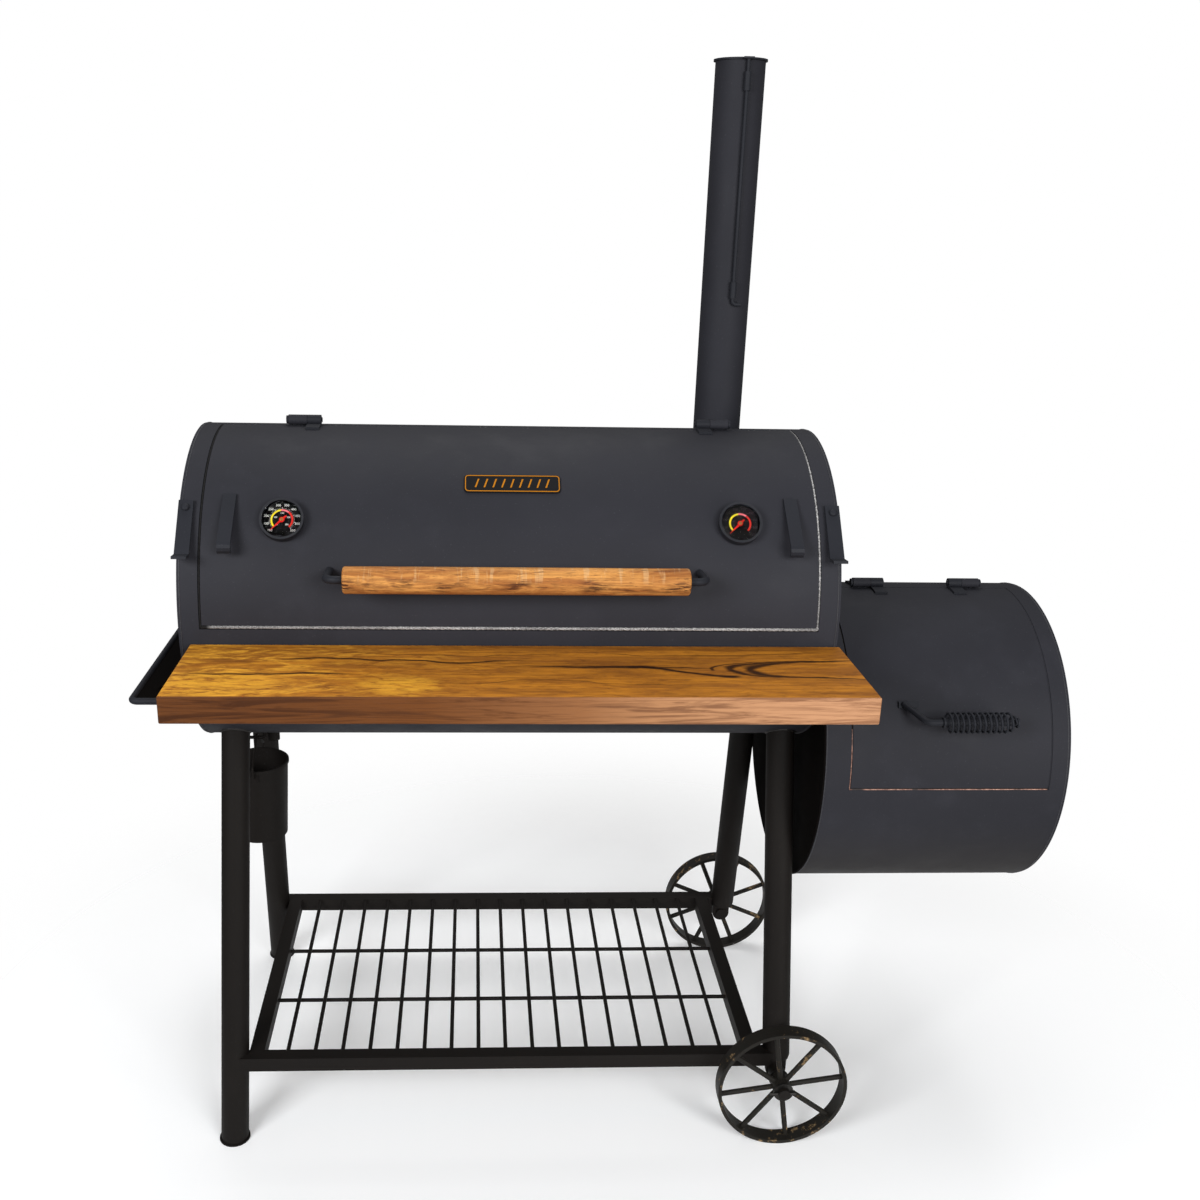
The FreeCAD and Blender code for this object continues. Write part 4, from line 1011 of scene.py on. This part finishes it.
def weld_beads():
    y, z = Vector((0, 1, 0)), Vector((0, 0, 1))
    chamber = Sweep()
    for drum in (BARREL, FIREBOX):
        for end in (drum.left, drum.right):
            centre = Vector((end, drum.y, drum.z))
            bead(chamber, ring(centre, drum.radius - 0.4 * MM, y, z, 96), END_BEAD)
    low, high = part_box("chimney_pipe")
    pipe_top = Vector(((low.x + high.x) / 2, (low.y + high.y) / 2, high.z))
    bead(chamber, meet_drum(BARREL, pipe_top, -z, (high.x - low.x) / 2), PIPE_BEAD)
    piece("chamber_welds", chamber.mesh("chamber_welds"), chamber_weld, "frame")
    stand = Sweep()
    for node in LEG_TOP_X:
        for side in (-1, 1):
            bead(stand, meet_drum(BARREL, *leg_line(node, side), LEG_RADIUS), LEG_BEAD)
    piece("stand_welds", stand.mesh("stand_welds"), stand_weld, "frame")


weld_beads()


# ---------------------------------------------------------------- stage, lights, camera

FLOOR_GLOW = 0.12
FLOOR_WHOLE, FLOOR_GONE = 0.62, 1.55        # distances from the middle


def stage():
    """A pale floor that fades into the white surroundings."""
    floor = bpy.data.meshes.new("floor")
    half = 30
    floor.from_pydata([(-half, -half, 0), (half, -half, 0), (half, half, 0), (-half, half, 0)],
                      [], [(0, 1, 2, 3)])
    made = bpy.data.objects.new("floor", floor)
    bpy.context.scene.collection.objects.link(made)
    look = Recipe("floor", (0.94, 0.94, 0.94), 0.9, specular=0.1)
    look.colour(look.mix(look.noise(0.4, 2), (0.93, 0.93, 0.93), (0.95, 0.95, 0.95)))
    distance = look.node("ShaderNodeVectorMath", operation="LENGTH")
    look.feed(distance.inputs[0], look.place)
    look.feed(look.shader.inputs["Alpha"], look.band(distance.outputs["Value"], FLOOR_GONE,
                                                       FLOOR_WHOLE))
    look.shader.inputs["Emission Color"].default_value = (1, 1, 1, 1)
    look.shader.inputs["Emission Strength"].default_value = FLOOR_GLOW
    floor.materials.append(look.material)


def softbox(name, place, aim, width, height, power, colour=(1, 1, 1)):
    """A rectangular light at a place, turned to face its aim; power is in watts."""
    data = bpy.data.lights.new(name, "AREA")
    data.shape = "RECTANGLE"
    data.size, data.size_y = width, height
    data.energy = power
    data.color = colour
    made = bpy.data.objects.new(name, data)
    bpy.context.scene.collection.objects.link(made)
    made.location = place
    made.rotation_euler = (Vector(aim) - Vector(place)).to_track_quat("-Z", "Y").to_euler()


ROOM_LIGHT = 0.20


def lights():
    """Surroundings that look white but light the smoker only a little, and four boxes."""
    world = bpy.data.worlds.new("studio")
    bpy.context.scene.world = world
    world.use_nodes = True
    tree = world.node_tree
    background = tree.nodes["Background"]
    background.inputs["Color"].default_value = (1, 1, 1, 1)
    sight = tree.nodes.new("ShaderNodeLightPath")
    strength = tree.nodes.new("ShaderNodeMix")
    strength.inputs[2].default_value = ROOM_LIGHT
    strength.inputs[3].default_value = 1.0
    tree.links.new(sight.outputs["Is Camera Ray"], strength.inputs[0])
    tree.links.new(strength.outputs[0], background.inputs["Strength"])
    softbox("left_box", (-2.1, -2.5, 2.1), (-0.2, 0, 0.9), 1.5, 1.1, 86, (0.96, 0.98, 1))
    softbox("right_box", (1.1, -3.0, 2.0), (0.1, 0, 0.9), 1.5, 1.1, 66, (0.96, 0.98, 1))
    softbox("low_box", (1.5, -2.0, 0.7), (0.3, -0.3, 0.8), 0.7, 0.7, 14, (1, 0.97, 0.94))
    softbox("floor_box", (0, 1.6, 4.0), (0, 1.1, 0), 3, 3, 68)


def camera():
    """Stands in front, above the lid, a little to the left, and looks slightly down."""
    data = bpy.data.cameras.new("camera")
    made = bpy.data.objects.new("camera", data)
    bpy.context.scene.collection.objects.link(made)
    yaw, pitch, roll = (math.radians(a) for a in (2.74, 18.89, 1.13))
    ahead = Vector((math.sin(yaw) * math.cos(pitch), math.cos(yaw) * math.cos(pitch),
                    -math.sin(pitch)))
    right = Vector((math.cos(yaw), -math.sin(yaw), 0))
    up = right.cross(ahead)
    level = right * math.cos(roll) + up * math.sin(roll)
    upright = up * math.cos(roll) - right * math.sin(roll)
    spot = Vector((-0.2481, -1.9876, 1.5156))
    made.matrix_world = Matrix(((level.x, upright.x, -ahead.x, spot.x),
                                (level.y, upright.y, -ahead.y, spot.y),
                                (level.z, upright.z, -ahead.z, spot.z), (0, 0, 0, 1)))
    data.sensor_width = 36
    data.lens = 37.65
    data.shift_x = 0.0595
    data.shift_y = 0.0321
    bpy.context.scene.camera = made


stage()
lights()
camera()
bpy.context.scene.view_settings.view_transform = "Standard"
